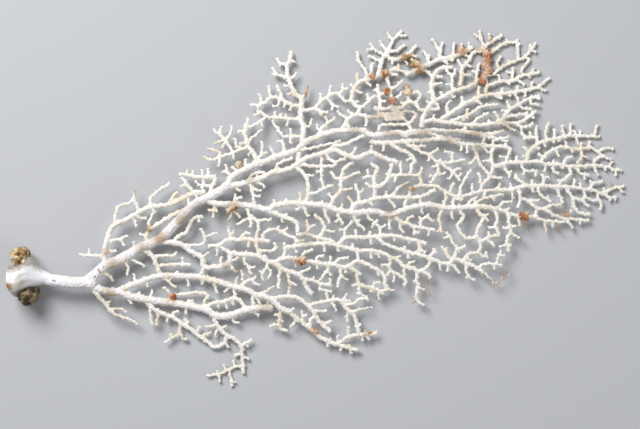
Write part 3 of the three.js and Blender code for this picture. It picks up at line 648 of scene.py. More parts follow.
        (1.1, 1.1, (213.3, 112.5), (214.5, 117.3)),
        (1.1, 1.1, (219.8, 110.8), (220.3, 117.2)),
        (1.1, 1.1, (214.5, 109), (217.2, 106.8)),
        (1.1, 1.1, (224.3, 112.5), (224.2, 116.7)),
    ],
    "far_top_crown": [
        (1.3, 1.2, (223.4, 96.3), (224, 100), (224.5, 104.5), (228.3, 109.3), (230, 112.7),
            (233.5, 113.5), (236, 115.7), (239.5, 118.3), (244, 121)),
        (1.1, 1.1, (224.5, 105), (222.3, 108.6)),
        (1.1, 1.1, (235, 115), (234.3, 119), (233.3, 123.2)),
        (1.4, 1.3, (235.3, 114), (236.7, 108), (236, 101.5)),
        (1.3, 1.1, (237, 111.5), (241, 114.2), (244.5, 116.6), (248, 117.7), (252, 117.5),
            (252.5, 113.5), (252.6, 110.3)),
        (1.2, 1.1, (236.5, 101.3), (240.5, 102), (244, 105), (249, 107.5), (256, 110.7), (261.2, 117)),
        (1.1, 1.1, (243.2, 104.5), (242, 107.5), (243.8, 110.5)),
        (1.1, 1.1, (256, 110.5), (258.3, 108.7), (255.5, 105.8), (254.2, 103)),
    ],
    "far_mid_limb": [
        (1.2, 1.2, (236.3, 92.7), (236.3, 95), (240, 97), (245, 98.2), (250, 98.5), (254, 101),
            (258, 101.7), (262.8, 102.6)),
        (1.2, 1.1, (236.8, 96), (236.3, 99.7)),
        (1.1, 1.1, (249.5, 98.7), (250.1, 104.5)),
        (1.1, 1.1, (243, 98), (243, 101)),
        (1.1, 1.1, (251.5, 99), (255.4, 96.7)),
    ],
    "far_row_high": [
        (1.4, 1.1, (214.3, 79.5), (218, 81.7), (222, 84.4), (226, 87), (231, 89.3), (236, 91.2),
            (243, 91.7), (250, 92.6), (256, 93.7), (262, 95), (268, 99.6)),
        (1.1, 1.1, (217.3, 81.7), (216.3, 85.5), (218.3, 88.3)),
        (1.1, 1.1, (224.3, 86), (224.2, 90)),
        (1.1, 1.1, (232.3, 90), (232.7, 95.3)),
        (1.1, 1.1, (259.3, 94.5), (259.5, 97.5)),
        (1.1, 1.1, (263, 95.3), (266.3, 93.3)),
        (1.1, 1.1, (250.7, 92.3), (252.8, 87.7)),
        (1.1, 1.1, (240, 91.3), (244, 89.3)),
        (1.1, 1.1, (230, 88.7), (234, 86.7)),
    ],
    "far_row_mid": [
        (1.2, 1.1, (219, 78), (224, 80), (229, 82), (234, 85.4), (242, 86.4)),
        (1.1, 1.1, (226.8, 81), (226.7, 84)),
    ],
    "far_row_low": [
        (1.4, 1.2, (204.3, 77.5), (210, 78.3), (216, 77.4), (222, 76.7), (228, 75.8), (234, 76),
            (240, 77), (247, 77.2), (253, 77.3), (258, 80.4), (261.2, 83)),
        (1.2, 1.1, (229, 76.3), (232, 79.3), (237, 82)),
        (1.2, 1.1, (242, 77.5), (247, 80.2), (257, 82)),
        (1.2, 1.1, (244.5, 79), (248, 83.7), (254, 87.3), (259, 90), (263, 90.8)),
        (1.1, 1.1, (249, 84.3), (246.8, 87.5)),
        (1.1, 1.1, (252.5, 86.2), (255, 84.5), (258.7, 84.2)),
        (1.1, 1.1, (258.5, 89.7), (259.3, 86.9), (262.5, 86.3)),
        (1.1, 1.1, (243, 78.5), (240.6, 82.5)),
        (1.2, 1.1, (250.5, 77), (255, 75), (259.5, 76.7)),
        (1.1, 1.1, (245, 76.5), (250.5, 73.3)),
    ],
    "cross_row": [
        (1.4, 1.2, (194.5, 71.5), (199, 73), (204, 72.8), (210, 73.6), (216, 73), (222, 73), (229, 72.3),
            (236, 71.5), (240, 72), (244.6, 73)),
        (1.2, 1.1, (198.5, 73), (197.2, 76), (192, 76.2), (183, 75.7), (182.6, 73.6)),
        (1.2, 1.1, (197.3, 76.3), (201, 80.6)),
        (1.1, 1.1, (222, 73), (226, 74.3)),
    ],
    "mesh_row": [
        (1.4, 1.3, (178.6, 67.3), (184, 67), (190, 67.3), (197, 68), (204, 68.2), (210, 69), (216, 68.7),
            (222, 67), (228, 66.2), (234, 65.8), (240, 65.4), (245, 65.3), (248.5, 64)),
        (1.1, 1.1, (184.7, 67), (184.8, 63.5)),
        (1.3, 1.2, (188, 66.7), (192, 64), (197, 62), (200.5, 58), (198.7, 56), (198.4, 52.3)),
        (1.2, 1.1, (195, 67.3), (199, 65), (203, 62.7), (207, 61), (210, 58.8), (213, 57), (219, 57.4),
            (225.3, 58.8)),
        (1.1, 1.1, (207.5, 61.2), (211.7, 63.6)),
        (1.1, 1.1, (219, 57.7), (218.9, 62), (215.6, 62.5)),
        (1.2, 1.1, (211.5, 57.5), (212, 52.7), (208.5, 47.3)),
        (1.1, 1.1, (214, 56.3), (218.5, 53.3), (223.3, 54.3)),
        (1.1, 1.1, (224, 66), (223.7, 63.5)),
        (1.1, 1.1, (226.4, 66), (226.8, 62.4)),
        (1.2, 1.2, (229.5, 65.7), (231.7, 61), (233, 56.5), (237.5, 51.5)),
        (1.1, 1.1, (231.5, 60.5), (228.3, 56.6)),
        (1.2, 1.2, (240, 65), (238.6, 60.5), (239.6, 55), (237.5, 50), (234.7, 46.8)),
        (1.2, 1.1, (234, 66), (235.5, 70), (233.5, 71.3)),
        (1.1, 1.1, (239.3, 65.7), (240.5, 68.5), (247.4, 70)),
        (1.2, 1.1, (248, 64), (247.3, 61), (246.3, 58)),
        (1.1, 1.1, (237.3, 50.3), (243.5, 49.4)),
    ],
    "right_row": [
        (1.4, 1.1, (240.6, 55.4), (243, 56.2), (248, 57.2), (254, 57.4), (262, 57.8), (266, 56.6),
            (272, 56.3), (277, 55.6), (284, 55.5), (291, 56), (298, 55), (301, 53.6), (304, 53.7)),
        (1.1, 1.1, (244.5, 56.3), (248, 50.3)),
        (1.1, 1.1, (253.5, 57), (255.5, 53.4), (261.3, 53.2)),
        (1.1, 1.1, (251.3, 57.3), (251.3, 60)),
        (1.1, 1.1, (269.8, 56.3), (270, 52.7), (272.3, 52)),
        (1.1, 1.1, (274.7, 56), (276, 59), (279.3, 60.2)),
        (1.2, 1.2, (277.5, 55.5), (278.6, 51.7), (273.7, 47.8), (273.2, 46.7)),
        (1.1, 1.1, (281.3, 55.3), (283, 52.2), (287.6, 51)),
        (1.1, 1.1, (290.3, 55.7), (292.3, 51.3)),
    ],
    "right_upper_branch": [
        (1.3, 1.1, (256.5, 57.7), (257.3, 61.5), (261, 66), (266, 68.2), (272, 69.5), (278, 70.7),
            (284, 70.7), (293, 70.3)),
        (1.1, 1.1, (257.7, 62.5), (255.2, 65)),
        (1.2, 1.1, (262, 67), (261.5, 71), (261.5, 75.2)),
        (1.1, 1.1, (262, 70), (256.3, 69.8), (254.2, 72)),
        (1.1, 1.1, (266.8, 68.8), (266, 72), (267.8, 77.2)),
        (1.1, 1.1, (270.4, 69.3), (270.6, 73.5)),
        (1.1, 1.1, (275.7, 70.3), (274.4, 75.5)),
        (1.1, 1.1, (278.5, 71), (278.9, 76.7)),
        (1.1, 1.1, (290.5, 70.5), (292.4, 76)),
        (1.1, 1.1, (281.3, 70.3), (282.5, 66.3)),
    ],
    "right_middle_branch": [
        (1.2, 1.1, (264, 58.2), (266.5, 61.5), (270, 64), (275, 65.2), (282, 64), (289.5, 64.6),
            (294, 61.5), (299, 59)),
        (1.1, 1.1, (271, 64), (272.5, 60.5)),
        (1.1, 1.1, (292.7, 62.3), (296, 64.6), (300, 64.2)),
        (1.1, 1.1, (283.7, 64), (284.5, 61), (282.3, 57.3)),
        (1.1, 1.1, (284.5, 60.8), (287.2, 60)),
        (1.1, 1.1, (295, 60.7), (290.7, 58.8)),
    ],
    "net_limb": [
        (1.8, 1.6, (96, 38.5), (101, 36.7), (108, 36.4), (118, 35.6), (127, 33.8), (131, 35.8),
            (139, 36.9), (146, 36.6), (154, 36), (162, 33.5), (170, 32.2), (180, 32.9), (188, 31),
            (192, 32.6), (200, 35.2), (208, 36.2), (216, 34.4), (226, 35), (234, 35.2), (241, 34)),
        (1.1, 1.1, (106.5, 36), (110, 33), (113, 30.2)),
        (1.2, 1.1, (100.5, 36.5), (100.3, 33.3)),
        (1.1, 1.1, (142.7, 36.5), (143.4, 42)),
        (1.2, 1.1, (144, 36), (147, 30.6)),
        (1.2, 1.1, (155, 35.5), (155.5, 32.5), (157.8, 27.4)),
        (1.2, 1.1, (162.5, 33), (162.3, 30), (164.3, 27)),
        (1.2, 1.1, (169.7, 32), (171.3, 27.5), (175.2, 24)),
        (1.2, 1.1, (176, 32), (178, 29), (178.7, 28.4)),
        (1.1, 1.1, (187.7, 30.5), (187.7, 24.5)),
        (1.2, 1.1, (214.3, 35), (215.7, 39), (215.5, 42)),
        (1.2, 1.1, (219.3, 35), (219.8, 39.3)),
        (1.1, 1.1, (218.8, 34), (218.8, 29.7)),
    ],
    "net_links": [
        (1.3, 1.2, (190.3, 31), (193, 27.5), (196.5, 27), (200, 25.3), (204, 24.7), (210, 23.6)),
        (1.1, 1.1, (193, 27.5), (193, 24.5), (194.5, 22.5)),
        (1.1, 1.1, (200, 25.3), (200, 21.5)),
        (1.2, 1.1, (203.3, 25), (203.6, 28.6), (206.7, 30), (209.4, 28)),
    ],
    "net_drop_left": [
        (1.2, 1.1, (214.8, 34.3), (212.3, 30), (213, 26), (213.5, 22.8)),
    ],
    "net_drop_right": [
        (1.2, 1.2, (222, 34.3), (224.6, 30), (221.7, 26), (223.5, 21.7), (226.7, 19.2), (231.5, 20.2)),
        (1.3, 1.2, (231.2, 34.5), (232.8, 31.5), (235, 30.3), (232, 24.7), (231.3, 20.5), (233, 17.6),
            (232.7, 13.5)),
        (1.2, 1.2, (233.3, 17.8), (238, 20.3), (242, 20.8), (242.3, 22.7), (240.7, 25.3), (241.8, 29.3),
            (240.3, 33.2)),
        (1.1, 1.1, (237, 18.5), (240, 15.8)),
    ],
    "net_far": [
        (1.3, 1.1, (241, 34), (245, 33), (248, 31.5), (253, 30.5), (260, 30.2), (264.5, 28.6),
            (271, 27.7), (275, 27.4)),
        (1.2, 1.1, (247, 31.7), (247.2, 28), (248.3, 22.8), (246.4, 19), (247.2, 13.4)),
        (1.1, 1.1, (247.7, 24.7), (244.8, 24.3)),
        (1.1, 1, (248.3, 22.3), (252.5, 19.6)),
        (1.1, 1.1, (251.8, 30.7), (253, 26)),
        (1.1, 0.9, (265.3, 28.3), (266.4, 22.5)),
        (1.1, 1.1, (242, 34), (244, 37), (248.7, 37.7)),
    ],
    "net_side": [
        (1.5, 1.3, (126.8, 33.5), (131.5, 31.5), (137, 29.3), (141, 27.7), (142, 23.7), (141.7, 22.9)),
    ],
    "net_side_inner": [
        (1.2, 1.1, (116.7, 34), (118, 31), (121, 28.8), (122.5, 25.5), (121.3, 20.3)),
        (1.1, 1.1, (119, 30.6), (112, 26.3)),
        (1.1, 1.1, (121, 28.3), (128.6, 28.8)),
    ],
    "crossing_limb": [
        (1.5, 1.2, (169, 33.5), (170.8, 36.3), (176, 37.8), (182, 39.5), (188, 40.1), (195, 39.8),
            (203, 40.2), (210, 43.4)),
        (1.2, 1.1, (169.8, 35.8), (167.3, 40)),
        (1.2, 1.1, (172.3, 37), (172.4, 41), (170.6, 46)),
        (1.2, 1.1, (186.3, 40), (188.6, 37.3), (190.3, 35.3)),
        (1.2, 1.1, (189, 40.5), (192, 44.5), (197, 47.3)),
        (1.2, 1.1, (196.5, 39.5), (195, 35.7)),
        (1.2, 1.1, (197.3, 40.3), (198.3, 43), (202, 45.8), (208, 45.7), (212, 45), (216, 42.3),
            (220.5, 40.6), (226, 40.9), (233, 42.8), (241, 43.6)),
        (1.3, 1.2, (180.3, 39), (180.2, 45), (180.2, 50), (181.8, 54.3), (178.7, 56.3)),
        (1.1, 1.1, (180.2, 50.4), (174.7, 49.8)),
        (1.1, 1.1, (180, 44.8), (176, 46.4)),
        (1.4, 1.3, (180.3, 44.8), (184.5, 46.3), (187.3, 50), (188.8, 55.8)),
        (1.2, 1.1, (187.3, 50), (193, 51), (199, 50.8), (202.7, 50.5), (203.5, 46.3)),
        (1.1, 1.1, (193.5, 51), (193, 57.3)),
        (1.1, 1.1, (202.3, 50.7), (204, 54.2)),
        (1.1, 1.1, (203, 39.8), (203, 37.9)),
        (1.1, 1.1, (217.5, 42), (219.6, 46.8)),
        (1.2, 1.1, (222.7, 41), (223.5, 45.5), (228.2, 53.3)),
    ],
    "right_long_row": [
        (1.4, 1.1, (241, 43.6), (248, 43.6), (254, 45.2), (262, 45.8), (270, 45.4), (278, 45.2),
            (285, 44.2), (290, 43.5), (295, 41.8), (300, 44.6), (305.3, 45.3)),
        (1.1, 1.1, (241.2, 44), (243, 46.2)),
        (1.2, 1.1, (252.5, 44.3), (253.3, 40), (256.5, 38.4), (262.3, 38.2)),
        (1.1, 1.1, (253.3, 39.7), (252, 34.9)),
        (1.1, 1.1, (256.3, 46), (250.5, 49.5)),
        (1.2, 1.1, (262, 45.5), (263.3, 41), (268.3, 37.8)),
        (1.1, 1.1, (264.8, 46), (264.8, 51)),
        (1.2, 1.1, (271.3, 45), (274.6, 37.3)),
        (1.2, 1.1, (276, 45), (279.7, 39.8), (284, 38.6), (287.4, 35.5)),
        (1.2, 1.1, (279.8, 39.7), (280.4, 35), (283.7, 31.9), (288, 31.5)),
        (1.1, 1.1, (285.3, 44), (286, 40.3), (289.5, 38.4), (294, 38), (293.8, 34)),
        (1.1, 1.1, (289, 43.7), (289.6, 46.6), (294.6, 47.8)),
        (1.1, 1.1, (295, 41.8), (298, 39.8), (301.6, 40)),
        (1.1, 1.1, (280, 45.3), (280.7, 48.7)),
    ],
    "right_low_branch": [
        (1.3, 1.1, (257.5, 38), (261, 34.7), (266, 33.7), (270, 30.9), (275, 29.3), (279.7, 25)),
        (1.1, 1.1, (266, 34.3), (268, 35.8), (273.3, 36.2)),
        (1.1, 1.1, (276.8, 29), (282, 29), (287.5, 28.2)),
        (1.1, 1.1, (277.2, 29.5), (278.7, 33.2)),
    ],
    "side_tree": [
        (1.4, 1.2, (158.3, 35.5), (160.5, 40), (163.3, 43), (163.5, 48), (165, 54), (169, 56.8)),
        (1.1, 1.1, (163.3, 43.3), (168.7, 44.1)),
        (1.1, 1.1, (163.5, 48.8), (160.3, 49.8), (159, 52.2)),
        (1.1, 1.1, (163.7, 48.5), (172.4, 52.3)),
        (1.1, 1.1, (159.7, 39), (157.4, 41.2)),
    ],
}

# Short side twigs, each given by the points it passes through; each grows from the nearest limb.
STUBS = [
    ((60, 14), (60.2, 17.5)), ((55.5, 8.7), (57.5, 4), (56.7, 1.8)),
    ((43, 2.5), (47, 1.5), (49.8, -1.5)), ((38.5, 11), (38, 13.7)), ((46.5, 13), (51, 13)),
    ((54, 19), (55, 16)), ((91.5, 42), (91.5, 39.5)), ((87, 40), (87.5, 37)),
    ((86, 46.5), (83.7, 45.4)), ((66, 21), (63.5, 21.3)), ((70.5, 32.5), (69.5, 34.5)),
    ((80.5, 10.8), (81, 12.3)), ((84.3, 7), (84.3, 9.5)), ((94.3, 10), (97, 12.2)),
    ((92.7, 30), (92.8, 28)), ((95.5, 20), (93.7, 24)), ((60.5, -2.5), (60.5, 1.2)),
    ((66.5, -1.5), (66.8, -4.4)), ((75, -0.5), (80.5, -5)), ((81.7, 1), (81.8, 2.8)),
    ((86.5, -0.5), (87.5, -4)), ((95, -1), (94.3, -3.2)), ((63, -10), (63, -8)),
    ((68, -10.5), (69.3, -7)), ((57, -10), (58.7, -13.2)), ((86, -14), (87, -12.2), (89.3, -11.8)),
    ((85.7, -14.5), (86, -18)), ((78.5, -9), (75.2, -5.3)),
    ((71.5, -17.5), (71.8, -20.5), (71, -23.8)), ((77, -19.3), (76.2, -22)),
    ((78.5, -19.5), (79.7, -18), (81.7, -17)), ((78.2, -31), (78, -29)),
    ((85.5, -24), (87, -23), (85.3, -21.3)), ((91, -27.5), (92.7, -25.3)), ((47, -13), (48.5, -12)),
    ((103, -25.5), (106, -25)), ((101.5, -49), (101.5, -47.3)), ((94.4, 50), (94.4, 53)),
    ((89.8, 50), (89.8, 53)), ((87, 50.5), (87, 53.3)), ((94.8, 49.5), (94.7, 46), (94, 42.3)),
    ((106.5, 52.5), (104.5, 52.7)), ((112, 53), (109.3, 55)), ((116.5, 54.5), (115.7, 58.5)),
    ((110, 45.5), (113, 43)), ((124, 62), (124.2, 67.5)), ((134.3, 67.8), (131.8, 68)),
    ((157, 77.5), (156, 79.8)), ((153, 73), (151.5, 74.5), (151.8, 76)), ((115.5, 73), (112.3, 73)),
    ((119, 62.5), (117.2, 61.2)), ((116.5, 67.5), (113.2, 66.7)), ((110, 62), (109.8, 59.2)),
    ((103, 71.3), (103.8, 75)), ((105, 68.8), (103, 67.5), (100.8, 67.2)),
    ((106.2, 67.7), (104.3, 65.2)), ((130.5, 80), (130.5, 82.3)), ((133.3, 79.5), (133.3, 81.5)),
    ((136, 79.3), (136, 81)), ((137.5, 79), (136.5, 75.7)), ((124, 78), (124, 75.5)),
    ((138.5, 70.3), (138.5, 73.8)), ((138.5, 70.3), (138.2, 67.2)), ((132.3, 72.5), (132.3, 74.8)),
    ((135.5, 87.5), (135.3, 85.2)), ((138.5, 85.5), (138.3, 83.5)), ((139, 92.5), (137.3, 91.2)),
    ((138, 96), (135.5, 95.5)), ((130, 102), (129.3, 101.5)), ((133.5, 107), (133, 106)),
    ((138, 107.5), (140, 108.3)), ((138.3, 110.5), (137.3, 110.8)), ((153, 88.5), (153.5, 91.3)),
    ((164.5, 94), (166.5, 94)), ((153, 83), (153.5, 81)), ((159.5, 86), (159, 83.8)),
    ((170, 94.5), (168.3, 96)), ((170, 87), (172, 88)), ((176, 98), (178.3, 96)),
    ((177.3, 89), (176.5, 91.5)), ((169.5, 81.5), (167, 83)), ((166.5, 77.5), (167.5, 75)),
    ((122, 47.5), (125.5, 45.3)), ((119.5, 44.2), (123.3, 43.2)), ((120, 41), (122.7, 40.3)),
    ((146.7, 51), (149.7, 50.6)), ((154, 53), (151.5, 52.7)), ((160.5, 57.3), (160.7, 55.8)),
    ((168.7, 61), (171, 64.4)), ((144, 63.5), (149, 64.5), (155, 66), (160, 66.8), (163, 68)),
    ((110, 37), (111.5, 38.8), (113.7, 40)), ((110, 37), (111, 41)), ((109, 33.5), (107.8, 28.8)),
    ((100.3, 34), (97.8, 33.2)), ((100.3, 34), (99.8, 30.3)), ((100.3, 34), (101.7, 33)),
    ((130.3, 36), (130.3, 38.3)), ((136.3, 36.8), (136.3, 38.8)), ((154.3, 36), (154.3, 37.7)),
    ((144, 35.5), (141.5, 33.5)), ((134.5, 30), (134, 27.8)), ((136.3, 29.7), (136.5, 31.4)),
    ((163.5, 33), (164, 36.3)), ((162.3, 29), (161, 27.5)), ((171.5, 27.5), (172.8, 28.5)),
    ((180, 26.5), (179, 25)), ((180, 27), (181.5, 28.4)), ((118.5, 29), (118.7, 25)),
    ((109, 21.5), (110, 23)), ((103.5, 6), (103.8, 10)), ((108.5, 8), (111, 9), (112.5, 10)),
    ((118, 4.7), (120.3, 5)), ((116.3, 11.5), (116.3, 13)), ((124.3, 2.5), (123, 3)),
    ((138, -2), (141, -4)), ((125.5, 11), (126.2, 10)), ((132, 24), (132.3, 25.2)),
    ((134, 22.8), (136.7, 24.2)), ((102, -13), (102, -15)), ((106, -12.5), (106.3, -15.5)),
    ((109, -11.5), (109.5, -13.5)), ((108, -5), (105.8, -7.3)), ((111, -4), (111.5, -0.3)),
    ((121, -10), (122.5, -12), (124, -14.5)), ((127, -11), (127, -14.5)),
    ((118.5, -17), (120.5, -18), (122.3, -19)), ((133, -19.5), (130.8, -18.7)),
    ((133, -21.8), (134.3, -22)), ((137.5, -17), (139.7, -15.5)), ((144.5, -19.5), (146, -19)),
    ((150, -1.5), (150, 0)), ((158, -4), (158.3, -1)), ((153.5, -3.5), (152.5, -6)),
    ((156.3, -7), (158.5, -7)), ((156, -6.5), (153, -6)), ((151.5, 7), (151.8, 4.5)),
    ((157, 3), (158.5, 1)), ((142, 18.3), (145, 18.2)), ((160, -10.5), (160, -9)),
    ((164.5, -11.5), (166.3, -8.7)), ((163.5, -11.8), (168, -11.8)),
    ((156.5, -31.5), (156.8, -34.5)), ((158, -32), (158.3, -30.8)), ((162, -33), (161.8, -29.5)),
    ((163.5, -34), (163.5, -36.8)), ((168, -35.5), (168, -34.3)), ((168.5, -36), (168.3, -38)),
    ((172.3, -25), (173.3, -23.5)), ((174, -29), (174.5, -31.7)), ((175.5, -29), (177.5, -31)),
    ((175.8, -28.5), (175.8, -27)), ((114.5, -40), (117, -41)), ((110.5, -45), (109.5, -42.5)),
    ((105.8, -46.5), (104.5, -44.7)), ((108.5, -52.5), (110.3, -53)),
    ((115.5, -33.7), (117, -34.7)), ((106, -33), (106.7, -35.3)), ((162, 15.5), (162, 13.3)),
    ((169.5, 14.5), (169.5, 16.5)), ((182, 12), (182.5, 10.3)), ((190.5, 9.3), (193, 10.5)),
    ((196.5, 5.5), (198, 7.5), (200, 7.6)), ((201.3, -2), (200, -2.4)), ((166, 4.7), (165.8, 2.5)),
    ((171.7, 1.5), (173.4, 1.7)), ((172, -3), (169.5, -4.5)), ((173, -8), (171.5, -8.4)),
    ((178.3, -5.3), (178.5, -7)), ((184.5, -7), (184.6, -8.6)), ((182, 3.2), (182, 1.2)),
    ((187, -6), (189.5, -6.8)), ((177.7, 20.3), (177.8, 22.3)), ((190, 20), (190, 18.5)),
    ((197.5, 18.7), (197.7, 17)), ((202.8, 14.3), (201.5, 13)), ((165.5, 23.5), (163, 23.9)),
    ((183, 24.5), (185.5, 25.8)), ((195.3, 13), (195.6, 15)), ((197, 12.5), (197, 9.8)),
    ((210, 13), (211.2, 12.4)), ((217, 6.8), (217, 3.3)), ((216, 12.5), (216.2, 14.6)),
    ((218, 20.3), (215, 19.5)), ((221.8, 14), (222.5, 12.8)), ((226.5, 10), (228, 8.6)),
    ((227.3, 0.5), (226, -0.3)), ((232, 12), (234, 10.8), (236.5, 10)),
    ((235.5, 10.8), (236, 12.4)), ((241, 6.6), (243.6, 6)), ((240, 6.5), (240.3, 4.4)),
    ((243, 10.7), (245, 11)), ((243, 10.7), (241.7, 11.2)), ((199.3, 60), (196.4, 58.4)),
    ((197, 66), (201, 65.3), (205.5, 65.5)), ((208, 60.5), (207.2, 58.3)),
    ((213, 57.5), (213, 58.8)), ((211.8, 55.7), (209, 55)), ((212.5, 51.3), (215.3, 51.8)),
    ((210, 49.8), (208, 50.8)), ((219, 53), (218.5, 50.5), (217.3, 49)),
    ((219.5, 52.5), (221.7, 49.7), (222.5, 48.3)), ((221.8, 50.2), (223.6, 51.2)),
    ((190.5, 49.6), (190.5, 47.8)), ((187.3, 51), (186, 51.3)), ((186, 40.5), (185.8, 42.6)),
    ((178, 37.8), (179, 36.2)), ((172.4, 41.5), (174.6, 43.5)), ((177, 50.2), (176.7, 53.4)),
    ((203.7, 35.5), (203.7, 32.3)), ((200.3, 23), (202, 22)), ((206.8, 29.9), (207, 31.2)),
    ((203.5, 28.6), (202.5, 30)), ((195.5, 27.3), (197.5, 29.5), (199, 30.5)),
    ((207.3, 24), (207.3, 21)), ((213.3, 24), (211.4, 22.8)), ((221, 39.5), (223.5, 38.4)),
    ((229, 41.7), (229, 46.3)), ((233.3, 43.3), (233.5, 47), (232.3, 51.9)),
    ((226.5, 35.3), (228.5, 38.5), (231.4, 39.8)),
    ((229.5, 36), (233, 38.5), (237, 39.8), (244.4, 41.3)), ((239, 40), (240, 38.6)),
    ((235.3, 42.5), (235, 39.8)), ((235, 65), (236.9, 62.2)), ((238.5, 58), (234.8, 58.2)),
    ((246, 65.3), (246, 66.9)), ((246.5, 60), (243, 60.3)), ((247.7, 52), (248.9, 52.8)),
    ((255.5, 53.3), (255, 51.4)), ((261, 53), (261, 50.7)), ((257, 60.5), (255, 60.6)),
    ((260.5, 65.3), (262.4, 64.2)), ((257, 69.9), (255.2, 69.2)), ((258, 70), (258.5, 72.4)),
    ((254, 72), (254, 75)), ((265.5, 68), (265.8, 65.7)), ((270, 69.2), (270.3, 67.4)),
    ((273, 69.7), (273, 68.2)), ((281, 70.7), (281, 73)), ((283.5, 70.8), (283.7, 73.3)),
    ((276, 65.2), (276.6, 67.4)), ((279.5, 64.3), (279.5, 62.6)), ((283.5, 64.2), (284.2, 67)),
    ((287.5, 64.5), (288.2, 67.9)), ((265, 60), (262.5, 61.4)), ((291, 58.7), (290.5, 57)),
    ((298.3, 55.3), (299.6, 57.6)), ((301.5, 53.7), (301.8, 51.2)), ((266, 56.5), (265.8, 53.4)),
    ((270, 56.5), (270, 58.3)), ((274.5, 56), (274.5, 54.5)), ((296, 55.3), (296.1, 53.8)),
    ((285.5, 51.5), (285.5, 49.2)), ((259.3, 45.7), (259.3, 48.3)), ((259.3, 45.5), (259.5, 42.7)),
    ((248.3, 43.7), (248.5, 46.4)), ((249, 43.3), (249.2, 40)), ((252, 48.5), (251.2, 51.3)),
    ((267, 38.8), (267, 40.3)), ((264.8, 50), (267.4, 50)), ((289.5, 46.6), (288.6, 48.1)),
    ((292.3, 42.8), (292.3, 39.6)), ((298.5, 39.8), (298.5, 38.2)), ((301.3, 40), (301.4, 38.5)),
    ((296, 42.3), (295.8, 44.3)), ((303, 45), (304.8, 42.6)), ((283.5, 44.5), (283.5, 46.7)),
    ((286, 40.5), (285.2, 39.7)), ((273.9, 48), (272.3, 48.4)), ((283.4, 29), (283.6, 27)),
    ((269, 28), (269.4, 25.4)), ((261, 30.5), (261.5, 34.3)), ((245, 33), (247.6, 34.3)),
    ((246.3, 16.6), (248.2, 16.3)), ((246.2, 16.3), (243, 15.1)), ((248, 25.2), (250.6, 25.5)),
    ((240.7, 24.9), (237.3, 24.6)), ((237.7, 20.2), (236.9, 22.3)), ((235, 30.3), (237, 28.4)),
    ((232.8, 31.6), (236.6, 31.2)), ((189.2, 109.2), (189.3, 107.2)),
    ((194.7, 109.8), (197, 106.8)), ((186.5, 102), (191.5, 101.3)), ((180.3, 114.4), (177, 114)),
    ((196.3, 86.9), (193.7, 87.2)), ((197, 92), (194, 92.7)), ((183, 88), (185.6, 87.7)),
    ((182.2, 92.5), (180.2, 93.6)), ((188, 94), (188.6, 90.4)), ((210, 87.5), (212.1, 86.2)),
    ((208.7, 86.8), (206.4, 87.7)), ((209.3, 92), (207, 92)), ((210, 100.7), (214, 100.2)),
    ((207.3, 107.5), (208, 111)), ((201, 106.5), (199.3, 109)), ((217.5, 110), (219.3, 108.5)),
    ((214, 90), (213.7, 92.5)), ((218.2, 92), (220, 90)), ((219.4, 96.2), (216.7, 96.6)),
    ((231.7, 102.2), (229.8, 103.4)), ((224.3, 101.5), (228, 101.2)),
    ((226.3, 107), (228.4, 105.4)), ((227.8, 114.2), (228, 117.2)),
    ((222, 111), (225.5, 112), (228, 110)), ((234.3, 119.5), (230.6, 121.6)),
    ((238.3, 117.5), (238.3, 122)), ((247, 117.5), (247, 119)), ((252, 117.5), (252, 119)),
    ((252, 117.5), (253.5, 117)), ((258.8, 114), (258.4, 116.3)), ((259.3, 113.7), (261.3, 113.2)),
    ((248, 107), (247.5, 108.6)), ((250, 102.3), (247.2, 102.7)), ((260, 102.3), (260, 104.5)),
    ((258.3, 101.7), (258.4, 100)), ((248, 98.4), (248, 96.7)), ((244.2, 91.8), (244.2, 94.4)),
    ((252, 93), (252, 95.5)), ((256, 93.7), (256.3, 91)), ((248, 92.4), (248.4, 90.8)),
    ((260, 90.3), (263.2, 89.2)), ((247, 82.5), (244.5, 83.6)), ((258.7, 80.8), (260.2, 79.8)),
    ((210, 78.4), (209.8, 80.9)), ((226.7, 81), (226.8, 79.5)), ((224.3, 80), (225, 78.3)),
    ((237.5, 76.7), (237.5, 78.4)), ((192, 81), (196.5, 83), (201, 81.5)),
    ((182, 82), (187, 81.5), (191, 83)), ((196.8, 71.3), (205.5, 72), (215.5, 69.8), (223, 68.5)),
    ((228, 72.2), (235.5, 70.4), (243, 69.1), (246.8, 67.9)),
    ((181.1, 83.5), (186.8, 84.1), (191.8, 82.9), (194.9, 81)),
    ((184.3, 81), (190.5, 81.6), (194.3, 79.8), (196.8, 77.3)), ((186.1, 78.5), (191.8, 78.8)),
]
STUB_RADIUS = 1.05

CREST = 9.5  # height of the middle of the fan
MARGIN = 1.7  # height of the rim, which rests on the table
FAN_CENTRE = (165, 35)
FAN_HALF = (138, 84)
RIPPLE = 1.1  # height of the ripple over the arch
RIPPLE_ALONG = 17  # millimetres per radian along X
RIPPLE_ACROSS = 21  # millimetres per radian along Y
STEM_BLEND = (20, 100)  # x over which the stem's height gives way to the arch
TUBE_SIDES = 12
BUD_SIDES = 10
BUD_SCATTER = 0.25  # how far a bud's direction strays
GRANULE_TOP = 0.15  # flat as far as this from its middle, as a share of the pitch
GRANULE_EDGE = 0.62  # and its foot, as a share of the pitch
SMOOTH_SHARE = 0.15  # of the granules' height that is left near the holdfast


def sheet_height(x, y):
    """Height over the table of the curled, dried sheet that the branches lie in."""
    u = (x - FAN_CENTRE[0]) / FAN_HALF[0]
    v = (y - FAN_CENTRE[1]) / FAN_HALF[1]
    inside = max(0, 1 - u * u - v * v)
    wave = math.sin(x / RIPPLE_ALONG) * math.cos(y / RIPPLE_ACROSS) * min(1, 2 * inside)
    fan = MARGIN + (CREST - MARGIN) * inside + RIPPLE * wave
    share = min(1, max(0, (x - STEM_BLEND[0]) / (STEM_BLEND[1] - STEM_BLEND[0])))
    share = share * share * (3 - 2 * share)
    return STEM_HEIGHT + (fan - STEM_HEIGHT) * share


